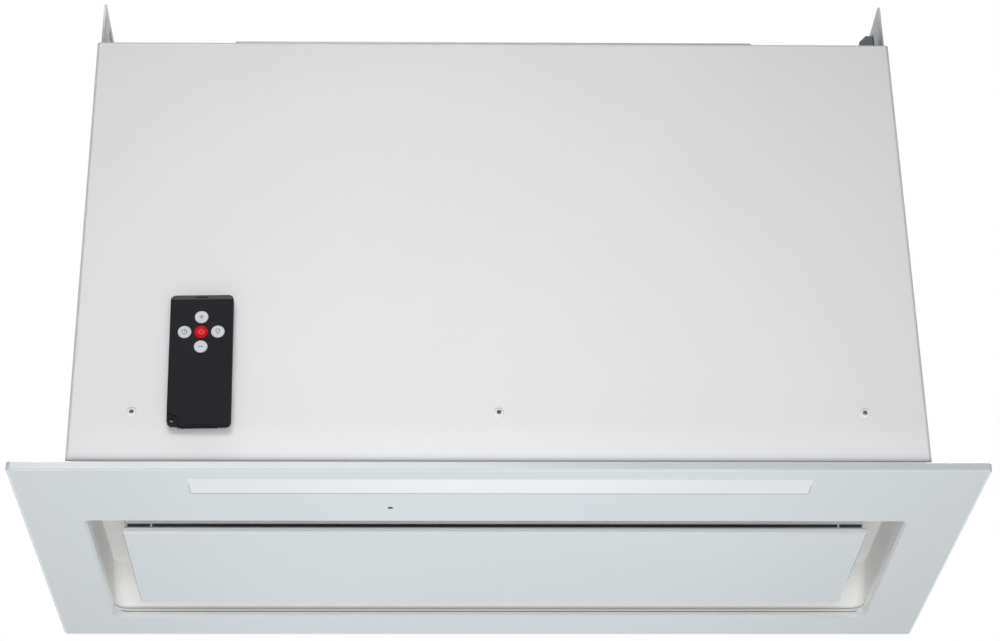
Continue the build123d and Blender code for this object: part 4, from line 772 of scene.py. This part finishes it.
class HOOD_OT_body(bpy.types.Operator):
    """Folded body, intake tray, rear and top sheets, ears and plates"""

    bl_idname = "hood.body"
    bl_label = "Body"

    def execute(self, context):
        settings = context.scene.hood_finish
        coat = powder_coat("body_powder_coat", settings.steel_white, BODY_LOW.z, BODY_HIGH.z)
        tray = powder_coat("tray_powder_coat", settings.tray_white)
        zinc = galvanised("zinc_sheet", settings.zinc)
        bright = galvanised("zinc_bracket", toned(settings.zinc, 1.06), 160)
        dress("body_wrap", coat)
        for node in ("base_frame", "intake_tray", "catch_brackets", "panel_backing"):
            dress(node, tray)
        for node in ("rear_panel", "top_panel", "control_box", "control_lid"):
            dress(node, zinc)
        for node in ("hinge_arms", "hinge_brackets", "motor_bracket"):
            dress(node, bright)
        for side in ("left", "right"):
            plate = hanging_plate(f"{side}_ear_zinc", toned(settings.zinc, 0.72), f"{side}_ear",
                                  BODY_HIGH.z)
            softened(f"{side}_ear", 0.00012, "hood", "bare_steel", plate, 1)
        dark_zinc = galvanised("motor_plate_zinc", toned(settings.zinc, 0.50), 60)
        softened("motor_plate", 0.0002, "hood", "bare_steel", dark_zinc, 1)
        plated = plain_metal("zinc_plate", (0.66, 0.67, 0.69), 0.28)
        for node in ("ear_rivets", "hinge_pins", "catch_magnets", "scroll_screws", "motor_shaft", "flap_pin",
                     "plate_screws", "control_screws"):
            dress(node, plated)
        dress("coin_cell", plain_metal("cell_steel", (0.70, 0.70, 0.70), 0.2, 1500))
        return {"FINISHED"}


class HOOD_OT_screws(bpy.types.Operator):
    """Pan-head screws with a cross recess round the foot of the body"""

    bl_idname = "hood.screws"
    bl_label = "Shell screws"

    def execute(self, context):
        sizes = context.scene.hood_detail
        radius, height, arm = sizes.screw_head, sizes.screw_height, sizes.recess_width
        deselect()
        bpy.ops.mesh.primitive_cylinder_add(vertices=40, radius=radius, depth=height, location=(0, 0, height / 2))
        head = context.object
        bpy.ops.object.mode_set(mode="EDIT")
        mark(head, lambda middle, normal: normal.z > 0.9)
        bpy.ops.mesh.bevel(offset=radius * 0.42, segments=6, profile=0.62)
        mark(head, lambda middle, normal: normal.z < -0.9)
        bpy.ops.mesh.inset(thickness=radius - SHANK_RADIUS, depth=0)
        bpy.ops.mesh.extrude_region_move(TRANSFORM_OT_translate={"value": (0, 0, -SHANK_LENGTH)})
        bpy.ops.object.mode_set(mode="OBJECT")
        blades = []
        for turn in (0, math.pi / 2):
            bpy.ops.mesh.primitive_cube_add(size=1, location=(0, 0, height * 0.55))
            blade = context.object
            blade.scale = (radius * 0.84, arm, height * 1.3)
            blade.rotation_euler.z = turn
            bpy.ops.object.transform_apply(location=True, rotation=True, scale=True)
            blades.append(blade)
        for blade in blades:
            apply_modifier(head, "BOOLEAN", operation="DIFFERENCE", object=blade, solver="EXACT")
        discard(*blades)
        pick(head)
        bpy.ops.object.shade_smooth_by_angle(angle=math.radians(30))
        row = middle_of("shell_screws").z
        places = []
        for x in (-sizes.screw_pitch, 0, sizes.screw_pitch):
            places.append(((x, BODY_LOW.y, row), (0, -1, 0)))
            places.append(((x, BODY_HIGH.y, row), (0, 1, 0)))
        for y in (-sizes.side_pitch, sizes.side_pitch):
            places.append(((BODY_LOW.x, y, row), (-1, 0, 0)))
            places.append(((BODY_HIGH.x, y, row), (1, 0, 0)))
        copies = []
        for index, (place, away) in enumerate(places):
            turn = Vector(away).to_track_quat("Z", "Y").to_matrix().to_4x4()
            spin = Matrix.Rotation(math.radians(17 + 53 * index), 4, "Z")
            copies.append(copy_of(head, Matrix.Translation(place) @ turn @ spin))
        discard(head)
        heads = join(copies)
        white = painted_heads("painted_screws", context.scene.hood_finish.steel_white, sizes, row)
        carry(heads, "shell_screw_heads", "hood", "plated_steel", white, ("shell_screws",))
        return {"FINISHED"}


class HOOD_OT_handset(bpy.types.Operator):
    """Handset case with soft edges, its keys and the generic signs on them"""

    bl_idname = "hood.handset"
    bl_label = "Handset"

    def execute(self, context):
        settings, sizes = context.scene.hood_finish, context.scene.hood_detail
        case = handset_case("handset_case", settings.handset_black, handset_place())
        grey = moulded("key_plastic", settings.key_grey, 0.34, 2600, 0.000005)
        red = moulded("power_key_plastic", settings.key_red, 0.40, 2600, 0.000005, specular=0.04)
        softened("handset_face", sizes.soft_edge, "handset", "handset_black", case, 3)
        softened("handset_shell", sizes.soft_edge * 0.6, "handset", "handset_black", case, 2)
        dress("battery_tray", case)
        board = circuit_board("green_board")
        for node in ("handset_board", "control_board", "led_board", "ir_receiver"):
            dress(node, board)
        for name in ("plus", "minus", "timer", "light"):
            dress(f"key_{name}", grey)
        dress("key_power", red)
        ink = moulded("sign_ink", (0.10, 0.11, 0.14), 0.5)
        pale = moulded("power_sign_ink", (0.84, 0.13, 0.10), 0.5, specular=0.2)
        base = handset_matrix()
        pitch = (middle_of("key_plus") - middle_of("key_power")).length
        signs = {
            "plus": ((0, pitch), self.plus, ink),
            "minus": ((0, -pitch), self.minus, ink),
            "timer": ((-pitch, 0), self.timer, ink),
            "light": ((pitch, 0), self.bulb, ink),
            "power": ((0, 0), self.power, pale),
        }
        for name, ((x, y), build, material) in signs.items():
            pieces = build(context, sizes.sign_line)
            for piece in pieces:
                piece.matrix_world = base @ Matrix.Translation((x, y, 0)) @ piece.matrix_world
                pick(piece)
                bpy.ops.object.transform_apply(location=True, rotation=True, scale=True)
            sign = join(pieces)
            carry(sign, f"sign_{name}", f"{name}_key", "key_red" if name == "power" else "key_grey", material)
        return {"FINISHED"}

    @staticmethod
    def bar(context, x, y, width, height):
        """A flat stroke with its upper edges rounded."""
        bpy.ops.mesh.primitive_cube_add(size=1, location=(x, y, INK_LIFT))
        piece = context.object
        piece.scale = (width, height, INK_THICKNESS)
        bpy.ops.object.transform_apply(location=True, rotation=True, scale=True)
        bpy.ops.object.mode_set(mode="EDIT")
        mark(piece, lambda middle, normal: normal.z > 0.9)
        bpy.ops.mesh.bevel(offset=0.00003, segments=2)
        bpy.ops.object.mode_set(mode="OBJECT")
        return piece

    @staticmethod
    def ring(context, x, y, radius, line, gap=0.0, start=90.0):
        """A flat ring, open by gap degrees about the start angle."""
        bpy.ops.mesh.primitive_cylinder_add(vertices=48, radius=radius + line / 2, depth=INK_THICKNESS,
                                            location=(0, 0, INK_LIFT), end_fill_type="NGON")
        piece = context.object
        bpy.ops.object.transform_apply(location=True, rotation=True, scale=True)
        bpy.ops.object.mode_set(mode="EDIT")
        mark(piece, lambda middle, normal: abs(normal.z) > 0.9)
        bpy.ops.mesh.inset(thickness=line, depth=0)
        bpy.ops.mesh.bridge_edge_loops()
        bpy.ops.object.mode_set(mode="OBJECT")
        if gap:
            bpy.ops.object.mode_set(mode="EDIT")
            limit = math.radians(gap / 2)

            def in_gap(middle, _):
                angle = math.atan2(middle.y, middle.x) - math.radians(start)
                angle = (angle + math.pi) % (2 * math.pi) - math.pi
                return abs(angle) < limit

            mark(piece, in_gap)
            bpy.ops.mesh.delete(type="FACE")
            bpy.ops.mesh.select_mode(type="EDGE")
            bpy.ops.mesh.select_all(action="DESELECT")
            bpy.ops.mesh.select_non_manifold()
            bpy.ops.mesh.edge_face_add()
            bpy.ops.mesh.select_all(action="SELECT")
            bpy.ops.mesh.normals_make_consistent(inside=False)
            bpy.ops.object.mode_set(mode="OBJECT")
        piece.location = (x, y, 0)
        bpy.ops.object.transform_apply(location=True, rotation=True, scale=True)
        return piece

    def plus(self, context, line):
        return [self.bar(context, 0, 0, 0.0028, line), self.bar(context, 0, 0, line, 0.0028)]

    def minus(self, context, line):
        return [self.bar(context, 0, 0, 0.0028, line)]

    def power(self, context, line):
        return [self.ring(context, 0, -0.0001, 0.0015, line, 70), self.bar(context, 0, 0.0010, line, 0.0020)]

    def timer(self, context, line):
        return [self.ring(context, 0, 0, 0.0016, line * 0.8), self.bar(context, 0, 0.0005, line * 0.7, 0.0011),
                self.bar(context, 0.0004, 0, 0.0009, line * 0.7)]

    def bulb(self, context, line):
        return [self.ring(context, 0, 0.0005, 0.0012, line * 0.8, 50, 270),
                self.bar(context, 0, -0.0010, 0.0011, line * 0.7), self.bar(context, 0, -0.0016, 0.0008, line * 0.7)]


class HOOD_OT_filters(bpy.types.Operator):
    """Layers of expanded aluminium in both grease filters"""

    bl_idname = "hood.filters"
    bl_label = "Grease filters"

    def execute(self, context):
        settings, sizes = context.scene.hood_finish, context.scene.hood_detail
        rim = galvanised("filter_rim", settings.aluminium, 400, brushed=True)
        strands = plain_metal("filter_strands", settings.aluminium, 0.32)
        for side in ("left", "right"):
            dress(f"{side}_filter_frame", rim)
            low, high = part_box(f"{side}_filter_mesh")
            layers = []
            for index, share in enumerate((0.14, 0.5, 0.86)):
                layers.append(self.layer(context, low, high, share, index, sizes.strand))
            pack = join(layers)
            carry(pack, f"{side}_filter_layers", f"{side}_filter", "filter_aluminium", strands,
                  (f"{side}_filter_mesh",))
        return {"FINISHED"}

    @staticmethod
    def layer(context, low, high, share, index, strand):
        """One sheet of slits pulled open into diamonds."""
        wide, deep = high.x - low.x, high.y - low.y
        columns, rows = 30 - index, 22
        deselect()
        bpy.ops.mesh.primitive_grid_add(x_subdivisions=columns, y_subdivisions=rows, size=1,
                                        location=((low.x + high.x) / 2, (low.y + high.y) / 2,
                                                  low.z + share * (high.z - low.z)))
        sheet = context.object
        sheet.scale = (wide - strand, deep - strand, 1)
        bpy.ops.object.transform_apply(location=False, rotation=True, scale=True)
        bpy.ops.object.mode_set(mode="EDIT")
        bpy.ops.mesh.select_mode(type="FACE")
        bpy.ops.mesh.select_all(action="SELECT")
        bpy.ops.mesh.poke()
        mark(sheet, lambda middle, along: (abs(along.x) > 0.99 or abs(along.y) > 0.99)
             and abs(middle.x) < wide / 2 - strand and abs(middle.y) < deep / 2 - strand, "edges")
        bpy.ops.mesh.dissolve_edges(use_verts=False)
        bpy.ops.object.mode_set(mode="OBJECT")
        apply_modifier(sheet, "WIREFRAME", thickness=strand, use_replace=True, use_even_offset=True,
                       use_boundary=True)
        return sheet


class HOOD_OT_inside(bpy.types.Operator):
    """Blower, outlet, flaps, electrical pieces and the cord bushing"""

    bl_idname = "hood.inside"
    bl_label = "Inside and outlet"

    def execute(self, context):
        settings, sizes = context.scene.hood_finish, context.scene.hood_detail
        dark = moulded("dark_moulding", settings.dark_moulding, 0.5, 1100, 0.00004, worn=0.1)
        for node in ("scroll_left", "scroll_right", "impeller", "outlet_collar"):
            dress(node, dark)
        softened("cord_bushing", sizes.soft_edge, "hood", "dark_plastic",
                 cable_clamp("bushing_plastic", (0.085, 0.105, 0.115), "cord_bushing"), 2)
        sheet = plain_metal("flap_aluminium", settings.aluminium, 0.34, 500)
        for node in ("front_flap", "rear_flap", "led_channel", "capacitor"):
            dress(node, sheet)
        dress("fan_motor", galvanised("motor_can", toned(settings.zinc, 0.9), 300))
        dress("led_driver", moulded("driver_case", (0.72, 0.72, 0.70), 0.5))
        return {"FINISHED"}


# ------------------------------------------------------------------ panel and registration

STEPS = (HOOD_OT_stage, HOOD_OT_glass, HOOD_OT_body, HOOD_OT_screws, HOOD_OT_handset, HOOD_OT_filters,
         HOOD_OT_inside)


class HOOD_PT_sidebar(bpy.types.Panel):
    """Lists the hood's settings and the steps that dress it"""

    bl_idname = "HOOD_PT_sidebar"
    bl_label = "Range hood"
    bl_space_type = "VIEW_3D"
    bl_region_type = "UI"
    bl_category = "Range hood"

    def draw(self, context):
        for group in (context.scene.hood_finish, context.scene.hood_detail):
            column = self.layout.column(align=True)
            for name in group.__annotations__:
                column.prop(group, name)
        for step in STEPS:
            self.layout.operator(step.bl_idname)


CLASSES = (HoodFinishSettings, HoodDetailSettings, *STEPS, HOOD_PT_sidebar)


def register():
    for item in CLASSES:
        bpy.utils.register_class(item)
    bpy.types.Scene.hood_finish = bpy.props.PointerProperty(type=HoodFinishSettings)
    bpy.types.Scene.hood_detail = bpy.props.PointerProperty(type=HoodDetailSettings)


def unregister():
    del bpy.types.Scene.hood_detail
    del bpy.types.Scene.hood_finish
    for item in reversed(CLASSES):
        bpy.utils.unregister_class(item)


def main():
    register()
    for step in STEPS:
        group, name = step.bl_idname.split(".")
        getattr(getattr(bpy.ops, group), name)()


if __name__ == "__main__":
    main()
